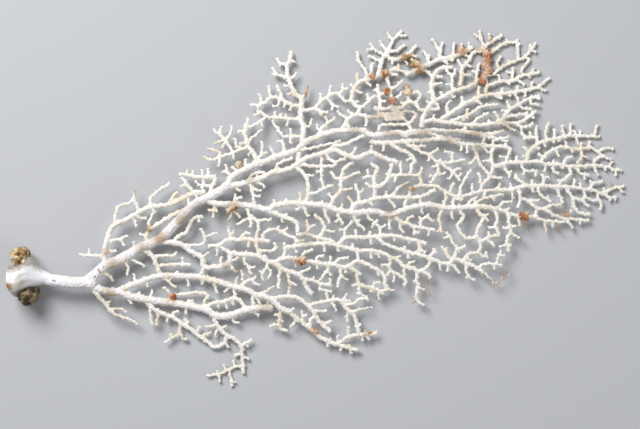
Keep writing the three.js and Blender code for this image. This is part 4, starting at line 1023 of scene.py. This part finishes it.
def limb_lines(name, branches):
    """A limb's centre lines as mesh edges, with the crust's radius at each point."""
    points = []
    edges = []
    girths = []
    for base, tip, *path in branches:
        first = len(points)
        steps = len(path) - 1
        for i, (x, y) in enumerate(path):
            points.append(place(x, y, sheet_height(x, y)))
            girths.append((base + (tip - base) * i / steps) * MM)
        edges += [(first + i, first + i + 1) for i in range(steps)]
    mesh = bpy.data.meshes.new(name)
    mesh.from_pydata(points, edges, [])
    mesh.attributes.new("girth", "FLOAT", "POINT").data.foreach_set("value", girths)
    return new_piece(name, mesh)


def baked(name, source):
    """The evaluated shape of source as a plain mesh object; source is removed."""
    graph = bpy.context.evaluated_depsgraph_get()
    mesh = bpy.data.meshes.new_from_object(source.evaluated_get(graph))
    bpy.data.objects.remove(source)
    return new_piece(name, mesh)


def branch_tree():
    """Centre lines to overlapping tubes with round, swollen tips and low buds down both sides.

    A tube's radius is the girth given, times Stoutness, less Crust, the room that is left for
    the fusing and the granules.
    """
    tree = bpy.data.node_groups.new("branch_tubes", "GeometryNodeTree")
    face = tree.interface
    face.new_socket("Geometry", in_out="INPUT", socket_type="NodeSocketGeometry")
    for name, value in (("Ring spacing", 0.9 * MM), ("Wander", 0.5 * MM), ("Tip swell", 1.12),
                        ("Stoutness", 1.2), ("Crust", 0.64 * MM), ("Bud spacing", 1.9 * MM),
                        ("Bud reach", 0.2 * MM), ("Bud radius", 0.42 * MM), ("Bud lean", 0.35),
                        ("Least bud", 0.45), ("Greatest bud", 1.25), ("Budding below", 2.2 * MM)):
        socket = face.new_socket(name, in_out="INPUT", socket_type="NodeSocketFloat")
        socket.default_value = value
    face.new_socket("Seed", in_out="INPUT", socket_type="NodeSocketInt")
    face.new_socket("Material", in_out="INPUT", socket_type="NodeSocketMaterial")
    face.new_socket("Geometry", in_out="OUTPUT", socket_type="NodeSocketGeometry")
    given = node(tree, "NodeGroupInput").outputs

    lines = node(tree, "GeometryNodeMeshToCurve", {"Mesh": given["Geometry"]})
    girth = node(tree, "GeometryNodeInputNamedAttribute", {"Name": "girth"}, data_type="FLOAT")
    stout = node(tree, "ShaderNodeMath", {0: girth.outputs["Attribute"],
                                          1: given["Stoutness"]}, operation="MULTIPLY")
    bare = node(tree, "ShaderNodeMath", {0: stout.outputs[0], 1: given["Crust"]},
                operation="SUBTRACT")
    sized = node(tree, "GeometryNodeSetCurveRadius", {"Curve": lines.outputs[0],
                                                      "Radius": bare.outputs[0]})
    bent = node(tree, "GeometryNodeCurveSplineType", {"Curve": sized.outputs[0]},
                spline_type="CATMULL_ROM")
    fine = node(tree, "GeometryNodeResampleCurve", {"Curve": bent.outputs[0],
                                                    "Length": given["Ring spacing"]}, mode="LENGTH")
    place_now = node(tree, "GeometryNodeInputPosition")
    drift = node(tree, "ShaderNodeTexNoise", {"Vector": place_now.outputs[0], "Scale": 160,
                                              "Detail": 2})
    centred = node(tree, "ShaderNodeVectorMath", {0: drift.outputs["Color"], 1: (0.5, 0.5, 0.5)},
                   operation="SUBTRACT")
    offset = node(tree, "ShaderNodeVectorMath", {0: centred.outputs[0], "Scale": given["Wander"]},
                  operation="SCALE")
    path = node(tree, "GeometryNodeSetPosition", {"Geometry": fine.outputs[0],
                                                  "Offset": offset.outputs[0]})
    ring = node(tree, "GeometryNodeCurvePrimitiveCircle", {"Resolution": TUBE_SIDES,
                                                            "Radius": 1.0})
    radius = node(tree, "GeometryNodeInputRadius")
    tubes = node(tree, "GeometryNodeCurveToMesh", {"Curve": path.outputs[0],
                                                   "Profile Curve": ring.outputs[0],
                                                   "Scale": radius.outputs[0],
                                                   "Fill Caps": True})

    ball = node(tree, "GeometryNodeMeshIcoSphere", {"Radius": 1.0, "Subdivisions": 3})
    ends = node(tree, "GeometryNodeCurveEndpointSelection", {"Start Size": 1, "End Size": 1})
    swollen = node(tree, "ShaderNodeMath", {0: radius.outputs[0], 1: given["Tip swell"]},
                   operation="MULTIPLY")
    tips = node(tree, "GeometryNodeInstanceOnPoints", {"Points": path.outputs[0],
                                                       "Selection": ends.outputs[0],
                                                       "Instance": ball.outputs[0],
                                                       "Scale": swollen.outputs[0]})

    seats = node(tree, "GeometryNodeCurveToPoints", {"Curve": path.outputs[0],
                                                     "Length": given["Bud spacing"]},
                 mode="LENGTH")
    index = node(tree, "GeometryNodeInputIndex")
    half = node(tree, "ShaderNodeMath", {0: index.outputs[0], 1: 2.0}, operation="MODULO")
    side = node(tree, "ShaderNodeMath", {0: half.outputs[0], 1: 2.0, 2: -1.0},
                operation="MULTIPLY_ADD")
    across = node(tree, "ShaderNodeVectorMath", {0: seats.outputs["Tangent"], 1: (0, 0, 1)},
                  operation="CROSS_PRODUCT")
    turned = node(tree, "ShaderNodeVectorMath", {0: across.outputs[0], "Scale": side.outputs[0]},
                  operation="SCALE")
    lean = node(tree, "FunctionNodeRandomValue", {"Min": (-BUD_SCATTER,) * 3,
                                                  "Max": (BUD_SCATTER,) * 3,
                                                  "Seed": given["Seed"]}, data_type="FLOAT_VECTOR")
    forward = node(tree, "ShaderNodeVectorMath", {0: seats.outputs["Tangent"],
                                                  "Scale": given["Bud lean"]},
                   operation="SCALE")
    way = node(tree, "ShaderNodeVectorMath", {0: turned.outputs[0], 1: forward.outputs[0]},
               operation="ADD")
    way = node(tree, "ShaderNodeVectorMath", {0: way.outputs[0], 1: lean.outputs[0]},
               operation="ADD")
    way = node(tree, "ShaderNodeVectorMath", {0: way.outputs[0]}, operation="NORMALIZE")
    share = node(tree, "FunctionNodeRandomValue", {2: given["Least bud"],
                                                   3: given["Greatest bud"],
                                                   "Seed": given["Seed"]}, data_type="FLOAT")
    reach = node(tree, "ShaderNodeMath", {0: given["Bud reach"], 1: share.outputs[1],
                                          2: radius.outputs[0]}, operation="MULTIPLY_ADD")
    turn = node(tree, "FunctionNodeAlignRotationToVector", {"Vector": way.outputs[0]}, axis="Z")
    rod = node(tree, "GeometryNodeMeshCylinder", {"Vertices": BUD_SIDES, "Radius": 1.0,
                                                "Depth": 1.0})
    raised = node(tree, "GeometryNodeTransform", {"Geometry": rod.outputs[0],
                                                  "Translation": (0, 0, 0.5)})
    size = node(tree, "ShaderNodeCombineXYZ", {"X": given["Bud radius"], "Y": given["Bud radius"],
                                               "Z": reach.outputs[0]})
    slender = node(tree, "FunctionNodeCompare", {0: radius.outputs[0],
                                                  1: given["Budding below"]},
                   data_type="FLOAT", operation="LESS_THAN")
    rods = node(tree, "GeometryNodeInstanceOnPoints", {"Points": seats.outputs["Points"],
                                                       "Selection": slender.outputs[0],
                                                       "Instance": raised.outputs[0],
                                                       "Rotation": turn.outputs[0],
                                                       "Scale": size.outputs[0]})
    shift = node(tree, "ShaderNodeVectorMath", {0: way.outputs[0], "Scale": reach.outputs[0]},
                 operation="SCALE")
    heads = node(tree, "GeometryNodeSetPosition", {"Geometry": seats.outputs["Points"],
                                                   "Offset": shift.outputs[0]})
    knob = node(tree, "ShaderNodeMath", {0: given["Bud radius"], 1: given["Tip swell"]},
                operation="MULTIPLY")
    knobs = node(tree, "GeometryNodeInstanceOnPoints", {"Points": heads.outputs[0],
                                                        "Selection": slender.outputs[0],
                                                        "Instance": ball.outputs[0],
                                                        "Scale": knob.outputs[0]})
    joined = node(tree, "GeometryNodeJoinGeometry")
    for part in (tubes, tips, rods, knobs):
        tree.links.new(part.outputs[0], joined.inputs[0])
    real = node(tree, "GeometryNodeRealizeInstances", {"Geometry": joined.outputs[0]})
    coated = node(tree, "GeometryNodeSetMaterial", {"Geometry": real.outputs[0],
                                                    "Material": given["Material"]})
    node(tree, "NodeGroupOutput", {"Geometry": coated.outputs[0]})
    return tree


def granule_tree():
    """Raises one low round granule in each cell over the crust."""
    tree = bpy.data.node_groups.new("crust_granules", "GeometryNodeTree")
    face = tree.interface
    face.new_socket("Geometry", in_out="INPUT", socket_type="NodeSocketGeometry")
    for name, value in (("Granule pitch", 1.1 * MM), ("Granule height", 0.28 * MM),
                        ("Smooth as far as", CUT + 13 * MM), ("Studded from", CUT + 30 * MM)):
        socket = face.new_socket(name, in_out="INPUT", socket_type="NodeSocketFloat")
        socket.default_value = value
    face.new_socket("Material", in_out="INPUT", socket_type="NodeSocketMaterial")
    face.new_socket("Geometry", in_out="OUTPUT", socket_type="NodeSocketGeometry")
    given = node(tree, "NodeGroupInput").outputs
    scale = node(tree, "ShaderNodeMath", {0: 1.0, 1: given["Granule pitch"]}, operation="DIVIDE")
    here = node(tree, "GeometryNodeInputPosition")
    cells = node(tree, "ShaderNodeTexVoronoi", {"Vector": here.outputs[0],
                                                "Scale": scale.outputs[0], "Randomness": 0.8})
    dome = node(tree, "ShaderNodeMapRange", {"Value": cells.outputs["Distance"], 1: GRANULE_TOP,
                                             2: GRANULE_EDGE, 3: 1.0, 4: 0.0},
                interpolation_type="SMOOTHSTEP")
    across = node(tree, "ShaderNodeSeparateXYZ", {0: here.outputs[0]})
    grown = node(tree, "ShaderNodeMapRange", {"Value": across.outputs["X"],
                                              1: given["Smooth as far as"],
                                              2: given["Studded from"], 3: SMOOTH_SHARE,
                                              4: 1.0})
    full = node(tree, "ShaderNodeMath", {0: grown.outputs[0], 1: given["Granule height"]},
                operation="MULTIPLY")
    rise = node(tree, "ShaderNodeMath", {0: dome.outputs[0], 1: full.outputs[0]},
                operation="MULTIPLY")
    # The stored granule level sets the painted shade in the gaps between granules.
    granule_shade_mask = node(tree, "ShaderNodeMix", {0: grown.outputs[0], 2: 1.0, 3: dome.outputs[0]},
                 data_type="FLOAT")
    normal = node(tree, "GeometryNodeInputNormal")
    offset = node(tree, "ShaderNodeVectorMath", {0: normal.outputs[0], "Scale": rise.outputs[0]},
                  operation="SCALE")
    kept = node(tree, "GeometryNodeStoreNamedAttribute", {"Geometry": given["Geometry"],
                                                          "Name": "granule",
                                                          "Value": granule_shade_mask.outputs[0]},
                data_type="FLOAT", domain="POINT")
    moved = node(tree, "GeometryNodeSetPosition", {"Geometry": kept.outputs[0],
                                                   "Offset": offset.outputs[0]})
    real = node(tree, "GeometryNodeRealizeInstances", {"Geometry": moved.outputs[0]})
    coated = node(tree, "GeometryNodeSetMaterial", {"Geometry": real.outputs[0],
                                                    "Material": given["Material"]})
    node(tree, "NodeGroupOutput", {"Geometry": coated.outputs[0]})
    return tree


# Chalky crust: dead matt white, cream on the twigs and cooler on the thick limbs, rust-stained where
# other animals had settled. Painted shade makes it darker and browner in the gaps between granules,
# brown where branches lie under others in the tangle, and dark in the worm holes.
crust, tree, shader, where = new_material("chalky_crust", 0.9)
girth = node(tree, "ShaderNodeAttribute", attribute_name="girth")
granule = node(tree, "ShaderNodeAttribute", attribute_name="granule")
stain = node(tree, "ShaderNodeAttribute", attribute_name="stain")
tangle_shade = node(tree, "ShaderNodeAttribute", attribute_name="tangle_shade")
pit_shade = node(tree, "ShaderNodeAttribute", attribute_name="pit_shade")
cream = ramp(tree, girth.outputs["Fac"], (0.15, "#f9f7f2"), (0.7, "#f1f1f7"))
# Painted shade: the gaps between granules are coloured darker and browner.
gap_shade = ramp(tree, granule.outputs["Fac"], (0.0, "#ece6dd"), (0.5, "#ffffff"))
blotch = node(tree, "ShaderNodeTexNoise", {"Vector": where, "Scale": 90, "Detail": 4})
tint = ramp(tree, blotch.outputs["Fac"], (0.34, "#f8f1e5"), (0.46, "#ffffff"))
shaded = node(tree, "ShaderNodeMix", data_type="RGBA", blend_type="MULTIPLY")
shaded.inputs[0].default_value = 1.0
tree.links.new(cream, shaded.inputs[6])
tree.links.new(gap_shade, shaded.inputs[7])
tinted = node(tree, "ShaderNodeMix", data_type="RGBA", blend_type="MULTIPLY")
tinted.inputs[0].default_value = 1.0
tree.links.new(shaded.outputs[2], tinted.inputs[6])
tree.links.new(tint, tinted.inputs[7])
# Painted shade: brown over the tangle spots, where branches lie under others.
shade_mottle = node(tree, "ShaderNodeTexNoise", {"Vector": where, "Scale": 380, "Detail": 3})
shade_amount = node(tree, "ShaderNodeMath", {0: tangle_shade.outputs["Fac"], 1: shade_mottle.outputs["Fac"]},
             operation="MULTIPLY", use_clamp=True)
tangle_shaded = node(tree, "ShaderNodeMix", data_type="RGBA")
tree.links.new(shade_amount.outputs[0], tangle_shaded.inputs[0])
tree.links.new(tinted.outputs[2], tangle_shaded.inputs[6])
tangle_shaded.inputs[7].default_value = linear("#a08a66")
speckle = node(tree, "ShaderNodeTexNoise", {"Vector": where, "Scale": 700, "Detail": 3})
patchy = node(tree, "ShaderNodeMath", {0: stain.outputs["Fac"], 1: speckle.outputs["Fac"]},
              operation="MULTIPLY")
strong = node(tree, "ShaderNodeMath", {0: patchy.outputs[0], 1: 1.1}, operation="MULTIPLY",
              use_clamp=True)
stained = node(tree, "ShaderNodeMix", data_type="RGBA")
tree.links.new(strong.outputs[0], stained.inputs[0])
tree.links.new(tangle_shaded.outputs[2], stained.inputs[6])
stained.inputs[7].default_value = linear("#b08a5c")
# Painted shade: the worm holes and the split are coloured dark.
pit_shaded = node(tree, "ShaderNodeMix", data_type="RGBA")
tree.links.new(pit_shade.outputs["Fac"], pit_shaded.inputs[0])
tree.links.new(stained.outputs[2], pit_shaded.inputs[6])
pit_shaded.inputs[7].default_value = linear("#8a7a64")
tree.links.new(pit_shaded.outputs[2], shader.inputs["Base Color"])
chalk = node(tree, "ShaderNodeTexNoise", {"Vector": where, "Scale": 3500, "Detail": 3})
bump = node(tree, "ShaderNodeBump", {"Height": chalk.outputs["Fac"], "Distance": 0.00012,
                                     "Strength": 0.6})
tree.links.new(bump.outputs["Normal"], shader.inputs["Normal"])

# Rust and ochre stains on the crust: x, y and the reach of each, in millimetres.
STAINS = [
    (46.5, 12.5, 3), (68, 24, 3), (71, 31, 2), (73.5, 19.5, 3.5), (83, 28.5, 3), (60.5, 43, 2.5),
    (49, -8.5, 3), (79.5, -10, 3.5), (110, 35, 4), (112.5, 56, 3), (144.3, 8.2, 4), (179, 100, 3.5),
    (186, 102, 4), (195.4, 110, 4), (202, 105, 6), (186.5, 92.7, 3), (189, 88, 3), (197, 92.4, 4),
    (224.4, 113.3, 4), (234, 113.6, 3.5), (237, 112, 4.5), (237, 105, 4.5), (235, 99, 4),
    (238.3, 119.5, 2.5), (255, 30.4, 4.5), (276.4, 31.5, 3), (150.5, -27, 4), (176, -28.3, 2.5),
    (106, 6, 3), (111, 3, 2), (198.5, 44, 3), (188, 31, 4), (144.5, 8.5, 3),
]
# Duller, browner stretches of painted shade where branches lie under others in the thick of the tangle.
TANGLE_SHADE = [
    (190, 82.5, 7), (181, 81, 5), (196, 82, 5), (176, 66, 4.5), (170, 73, 4), (205, 71, 6),
    (219, 70, 7), (232, 71, 6), (188, 72, 5), (126, -15, 5), (86, 30, 6), (92, 34, 5), (72, 20, 6),
    (64, 15, 5), (50, 6, 5), (47, -9, 6), (110, 34, 6), (108, 28, 5), (146, 20, 5), (232, 64, 5),
    (50, -1, 5), (118, 50, 4), (140, 7, 4), (196, 47, 5), (246, 76, 6),
]
# Worm holes and a split at the first fork, as x, y and reach in millimetres: sunk a little and
# coloured dark as painted shade.
PITS = [(21, -1.4, 0.55), (22, -1.8, 0.4), (43.2, 3.9, 0.55), (43.5, 3.1, 0.6), (44, 2.3, 0.5),
        (41.4, 0.4, 0.5), (45.4, 5, 0.4)]
PIT_DEPTH = 0.5 * MM
PIT_WALL = 2  # how steeply a worm hole's wall falls
CRUST_VOXEL = 0.38 * MM
TWIG_RADIUS = 0.9  # the radius that stores a girth of 0, in millimetres
GIRTH_SPAN = 2  # millimetres of radius from a girth of 0 to one of 1
READINGS = 4  # of the girth between two points of a centre line


def paint(piece, branches):
    """Stores each point's girth, stain, painted tangle shade and painted pit shade; sinks the worm
    holes.
    """
    samples = []
    for base, tip, *path in branches:
        steps = len(path) - 1
        for i, ((x0, y0), (x1, y1)) in enumerate(zip(path, path[1:])):
            for k in range(READINGS):
                share = (i + k / READINGS) / steps
                x = x0 + (x1 - x0) * k / READINGS
                y = y0 + (y1 - y0) * k / READINGS
                samples.append((place(x, y, sheet_height(x, y)), base + (tip - base) * share))
    tree = kdtree.KDTree(len(samples))
    for i, (point, _) in enumerate(samples):
        tree.insert(point, i)
    tree.balance()
    low = Vector(piece.bound_box[0])
    high = Vector(piece.bound_box[6])

    def nearby(spots):
        """The spots that reach this piece, in metres."""
        moved = [(place(x, y, 0), reach * MM) for x, y, reach in spots]
        return [(p, r) for p, r in moved
                if low.x - r < p.x < high.x + r and low.y - r < p.y < high.y + r]

    def level(spots, at):
        """1 at the middle of a spot, falling to 0 at its edge."""
        return max([0] + [1 - ((at.x - p.x) ** 2 + (at.y - p.y) ** 2) / r ** 2 for p, r in spots])

    stained = nearby(STAINS)
    tangle_shade_spots = nearby(TANGLE_SHADE)
    pitted = nearby(PITS)
    mesh = piece.data
    count = len(mesh.vertices)
    flat = [0.0] * (3 * count)
    mesh.vertices.foreach_get("co", flat)
    facing = [0.0] * (3 * count)
    mesh.vertex_normals.foreach_get("vector", facing)
    girths = []
    stains = []
    tangle_shades = []
    pits = []
    for i in range(count):
        at = Vector(flat[3 * i:3 * i + 3])
        girths.append((samples[tree.find(at)[1]][1] - TWIG_RADIUS) / GIRTH_SPAN)
        stains.append(level(stained, at))
        tangle_shades.append(level(tangle_shade_spots, at))
        pits.append(min(1, PIT_WALL * level(pitted, at)) if facing[3 * i + 2] > 0 else 0)
        flat[3 * i + 2] = max(at.z - PIT_DEPTH * pits[-1], 0)
    mesh.vertices.foreach_set("co", flat)
    mesh.update()
    values = (("girth", girths), ("stain", stains), ("tangle_shade", tangle_shades), ("pit_shade", pits))
    for name, values in values:
        old = mesh.attributes.get(name)
        if old:
            mesh.attributes.remove(old)
        mesh.attributes.new(name, "FLOAT", "POINT").data.foreach_set("value", values)


tubes = branch_tree()
granules = granule_tree()
SMOOTH = {"stem"}  # limbs without buds


def set_input(modifier, name, value):
    """Sets a node group's named input through the socket's identifier."""
    for item in modifier.node_group.interface.items_tree:
        if item.item_type == "SOCKET" and item.in_out == "INPUT" and item.name == name:
            modifier[item.identifier] = value


def limb(name, branches, seed):
    """One limb: tubes, fused by a voxel remesh, rounded at the forks, then granulated."""
    source = limb_lines(name + "_lines", branches)
    grow = source.modifiers.new("tubes", "NODES")
    grow.node_group = tubes
    set_input(grow, "Seed", seed)
    set_input(grow, "Material", crust)
    if name in SMOOTH:
        set_input(grow, "Bud reach", 0)
    fuse = source.modifiers.new("fuse", "REMESH")
    fuse.mode = "VOXEL"
    fuse.voxel_size = CRUST_VOXEL
    soften = source.modifiers.new("soften", "SMOOTH")
    soften.factor = 0.5
    soften.iterations = 4
    stud = source.modifiers.new("granules", "NODES")
    stud.node_group = granules
    set_input(stud, "Material", crust)
    piece = baked(name + "_crust", source)
    paint(piece, branches)
    return finish_piece(piece, crust, "coral", name)


def nearest_limb(x, y):
    """The limb with the centre line that passes closest to a point."""
    best = None
    for name, branches in LIMBS.items():
        for _, _, *path in branches:
            for (x0, y0), (x1, y1) in zip(path, path[1:]):
                run = (x1 - x0) ** 2 + (y1 - y0) ** 2
                share = ((x - x0) * (x1 - x0) + (y - y0) * (y1 - y0)) / run
                share = min(1, max(0, share))
                away = math.hypot(x0 + share * (x1 - x0) - x, y0 + share * (y1 - y0) - y)
                if best is None or away < best[0]:
                    best = (away, name)
    return best[1]


homes = [nearest_limb(*path[0]) for path in STUBS]
for home, path in zip(homes, STUBS):
    LIMBS[home].append((STUB_RADIUS, STUB_RADIUS, *path))
for seed, (name, branches) in enumerate(LIMBS.items()):
    limb(name, branches, seed)

# ---------------------------------------------------------------- growths
# Small animals that settled on the branches and dried there: rust and ochre lumps of sponge and
# moss animals, some wrapped round a twig. Rough balls, pushed into each other where they meet.
# Each lump is x, y, its reach along X and Y in millimetres, and its rust from 0 to 1.
LUMPS = [
    (46.5, 12.5, 1.4, 1.2, 0.7), (73.5, 19.5, 1.5, 1.3, 0.3), (79.5, -10, 1.8, 1.8, 0.9),
    (110, 35, 2.2, 1.9, 0.2), (107.8, 33.2, 1.5, 1.6, 0.3), (112.5, 56, 1.7, 1.7, 0.15),
    (144.3, 8.2, 2.2, 2.0, 0.9), (179, 100, 1.8, 1.6, 0.8), (186, 102, 2.1, 1.8, 0.6),
    (195.4, 110, 1.9, 1.8, 0.1), (198.4, 111, 1.5, 1.3, 0.1), (201, 106.3, 2.4, 2.2, 0.2),
    (203.4, 103.8, 2.2, 2.2, 0.3), (186.5, 92.7, 1.7, 2.0, 0.8), (189, 88, 1.9, 2.0, 1),
    (197, 92.4, 2.1, 1.9, 0.35), (196.6, 95.2, 1.3, 1.3, 0.3), (224.4, 113.3, 2.1, 1.9, 0.8),
    (234, 113.6, 1.9, 1.5, 0.2), (236.9, 112.2, 2.2, 2.4, 0.8), (237.6, 109, 2.1, 2.2, 0.7),
    (236.3, 106, 2.1, 2.2, 0.9), (237.6, 103, 1.9, 2.2, 0.6), (235.4, 100.4, 1.7, 1.7, 0.8),
    (234.6, 98, 2.0, 1.7, 1), (238.3, 119.5, 1.2, 1.2, 0.6), (255, 30.4, 2.5, 2.2, 0.8),
    (276.4, 31.5, 1.6, 1.5, 0.5), (150.5, -27, 1.9, 1.4, 0.3), (106, 6.3, 1.4, 1.2, 0.2),
    (198.5, 44, 1.5, 1.3, 0.25), (68, 24, 1.2, 1.6, 0.3), (83, 28.5, 1.4, 1.1, 0.25),
    (49.5, -8.5, 1.5, 1.1, 0.3),
]
LUMP_SIZE = 0.9  # of a lump's given reach, before it is roughened
LUMP_ROUGHNESS = 0.6
LUMP_RISE = 0.75  # height over width
LUMP_LIFT = 0.3  # of a lump's middle over the branch's axis, in millimetres
LUMP_GAP = 0.05  # the nearest a lump comes to the table


def growth():
    """All the lumps as one piece: rough balls that run into each other."""
    shape = bmesh.new()
    rust = shape.verts.layers.float.new("rust")
    for number, (x, y, reach_x, reach_y, redness) in enumerate(LUMPS):
        height = sheet_height(x, y)
        ball = bmesh.ops.create_icosphere(shape, subdivisions=4, radius=1)
        for vertex in ball["verts"]:
            out = vertex.co.normalized()
            lump = noise.fractal(out * 2.3 + Vector((number, 0, 0)), 0.7, 2.1, 5)
            size = LUMP_SIZE + LUMP_ROUGHNESS * lump
            rise = LUMP_RISE * (reach_x + reach_y) / 2
            spot = place(x + reach_x * out.x * size, y + reach_y * out.y * size,
                         max(LUMP_GAP, height + LUMP_LIFT + rise * out.z * size))
            vertex.co = spot
            vertex[rust] = redness
    mesh = bpy.data.meshes.new("settled_growths")
    shape.to_mesh(mesh)
    shape.free()
    return new_piece("settled_growths", mesh)


# Dried sponge: matt, rust to ochre with pale sandy flecks, pitted about every 0.6 mm.
sponge, tree, shader, where = new_material("dried_sponge", 0.95)
patch = node(tree, "ShaderNodeTexNoise", {"Vector": where, "Scale": 190, "Detail": 8})
sandy = ramp(tree, patch.outputs["Fac"], (0.36, "#8f7650"), (0.48, "#c0a67c"), (0.62, "#e8dcc2"))
rusty = ramp(tree, patch.outputs["Fac"], (0.36, "#a35a38"), (0.48, "#cb8b6a"), (0.62, "#e4c4ae"))
rust = node(tree, "ShaderNodeAttribute", attribute_name="rust")
blend = node(tree, "ShaderNodeMix", data_type="RGBA")
tree.links.new(rust.outputs["Fac"], blend.inputs[0])
tree.links.new(sandy, blend.inputs[6])
tree.links.new(rusty, blend.inputs[7])
tree.links.new(blend.outputs[2], shader.inputs["Base Color"])
pits = node(tree, "ShaderNodeTexVoronoi", {"Vector": where, "Scale": 1600})
bump = node(tree, "ShaderNodeBump", {"Height": pits.outputs["Distance"], "Distance": 0.0003,
                                     "Strength": 0.9})
tree.links.new(bump.outputs["Normal"], shader.inputs["Normal"])
finish_piece(growth(), sponge, "pale_rock")

# ---------------------------------------------------------------- bare core
# The horny core where the crust has flaked away: thin tan threads past the ends of some twigs and
# two ochre spikes. Each thread is its base and tip radius and its points, in millimetres.
THREADS = [
    (0.32, 0.3, (232.4, 4.6), (238.5, -1), (241, -3.5), (244, -1), (247.3, 0.6)),
    (0.3, 0.25, (246.1, 1), (246, 4), (247.6, 5.8)),
    (0.3, 0.25, (240, -3), (239, -4.7)),
    (0.3, 0.25, (235.5, 2), (233.5, 0.5)),
    (0.32, 0.25, (252.5, 19.5), (254.2, 17.5)),
    (0.32, 0.25, (252.5, 19.5), (254, 20.3)),
    (0.32, 0.25, (255.6, 28.2), (257, 24), (258.2, 22.7)),
    (0.32, 0.25, (266.2, 24), (267.4, 21.9)),
    (0.32, 0.25, (271, 27), (271.5, 25), (274, 21.8)),
    (0.32, 0.25, (271, 27.7), (275, 27.4)),
    (0.35, 0.3, (207, -0.5), (207, -4.5), (208.3, -9.2)),
    (0.32, 0.25, (201.5, -11.5), (199, -13.3)),
    (0.32, 0.25, (201.5, -11.5), (204.7, -14)),
    (0.32, 0.25, (299.3, 45), (299.2, 48)),
    (0.95, 0.25, (145.5, 90), (146.2, 93), (147.3, 96.3)),
    (0.95, 0.25, (177, -28), (179.5, -28.1), (181.5, -28)),
]


def thread_tree():
    """Centre lines to thin closed tubes."""
    tree = bpy.data.node_groups.new("core_threads", "GeometryNodeTree")
    face = tree.interface
    face.new_socket("Geometry", in_out="INPUT", socket_type="NodeSocketGeometry")
    socket = face.new_socket("Ring spacing", in_out="INPUT", socket_type="NodeSocketFloat")
    socket.default_value = 0.4 * MM
    face.new_socket("Material", in_out="INPUT", socket_type="NodeSocketMaterial")
    face.new_socket("Geometry", in_out="OUTPUT", socket_type="NodeSocketGeometry")
    given = node(tree, "NodeGroupInput").outputs
    lines = node(tree, "GeometryNodeMeshToCurve", {"Mesh": given["Geometry"]})
    bent = node(tree, "GeometryNodeCurveSplineType", {"Curve": lines.outputs[0]},
                spline_type="CATMULL_ROM")
    girth = node(tree, "GeometryNodeInputNamedAttribute", {"Name": "girth"}, data_type="FLOAT")
    sized = node(tree, "GeometryNodeSetCurveRadius", {"Curve": bent.outputs[0],
                                                      "Radius": girth.outputs["Attribute"]})
    fine = node(tree, "GeometryNodeResampleCurve", {"Curve": sized.outputs[0],
                                                    "Length": given["Ring spacing"]}, mode="LENGTH")
    radius = node(tree, "GeometryNodeInputRadius")
    ring = node(tree, "GeometryNodeCurvePrimitiveCircle", {"Resolution": 10, "Radius": 1.0})
    tube = node(tree, "GeometryNodeCurveToMesh", {"Curve": fine.outputs[0],
                                                  "Profile Curve": ring.outputs[0],
                                                  "Scale": radius.outputs[0],
                                                  "Fill Caps": True})
    real = node(tree, "GeometryNodeRealizeInstances", {"Geometry": tube.outputs[0]})
    coated = node(tree, "GeometryNodeSetMaterial", {"Geometry": real.outputs[0],
                                                    "Material": given["Material"]})
    node(tree, "NodeGroupOutput", {"Geometry": coated.outputs[0]})
    return tree


# Dry horn: tan to amber, slightly glossy, streaked along its length.
horn, tree, shader, where = new_material("dry_horn", 0.5)
streak = node(tree, "ShaderNodeTexNoise", {"Vector": where, "Scale": 500, "Detail": 3})
colour = ramp(tree, streak.outputs["Fac"], (0.4, "#a8804c"), (0.6, "#cdb083"))
tree.links.new(colour, shader.inputs["Base Color"])
source = limb_lines("core_lines", THREADS)
run = source.modifiers.new("threads", "NODES")
run.node_group = thread_tree()
set_input(run, "Material", horn)
finish_piece(baked("bare_core", source), horn, "coral")

# ---------------------------------------------------------------- stage
# A plain pale table, one large soft light overhead and a weaker one from the side.
bpy.ops.mesh.primitive_plane_add(size=6)
floor = bpy.context.object
floor.name = "table_top"
paper, tree, shader, where = new_material("matt_paper", 0.95)
shader.inputs["Base Color"].default_value = linear("#b9bbbf")
floor.data.materials.append(paper)

world = bpy.data.worlds.new("studio")
bpy.context.scene.world = world
world.use_nodes = True
world.node_tree.nodes["Background"].inputs["Color"].default_value = (1, 1, 1, 1)
world.node_tree.nodes["Background"].inputs["Strength"].default_value = 0.2


def soft_light(name, at, size, power):
    """A square area light aimed at the origin, under the middle of the fan."""
    data = bpy.data.lights.new(name, "AREA")
    data.shape = "SQUARE"
    data.size = size
    data.energy = power
    lamp = bpy.data.objects.new(name, data)
    bpy.context.scene.collection.objects.link(lamp)
    lamp.location = at
    lamp.rotation_euler = (-Vector(at)).to_track_quat("-Z", "Y").to_euler()


soft_light("overhead_softbox", (-0.45, 0.6, 0.9), 0.55, 15)
soft_light("side_softbox", (0.9, -0.5, 0.8), 0.9, 4)
bpy.context.scene.view_settings.view_transform = "Standard"

FRAME_WIDTH = 0.320  # across the view, in the plane of the branches
LENS = 100
SENSOR = 36
VIEW_CENTRE = (0.0008, -0.0034)
FOCUS_HEIGHT = 0.006  # of the plane that is FRAME_WIDTH wide
camera_data = bpy.data.cameras.new("camera")
camera_data.lens = LENS
camera_data.sensor_width = SENSOR
camera = bpy.data.objects.new("camera", camera_data)
bpy.context.scene.collection.objects.link(camera)
camera.location = (*VIEW_CENTRE, FOCUS_HEIGHT + FRAME_WIDTH * LENS / SENSOR)
bpy.context.scene.camera = camera
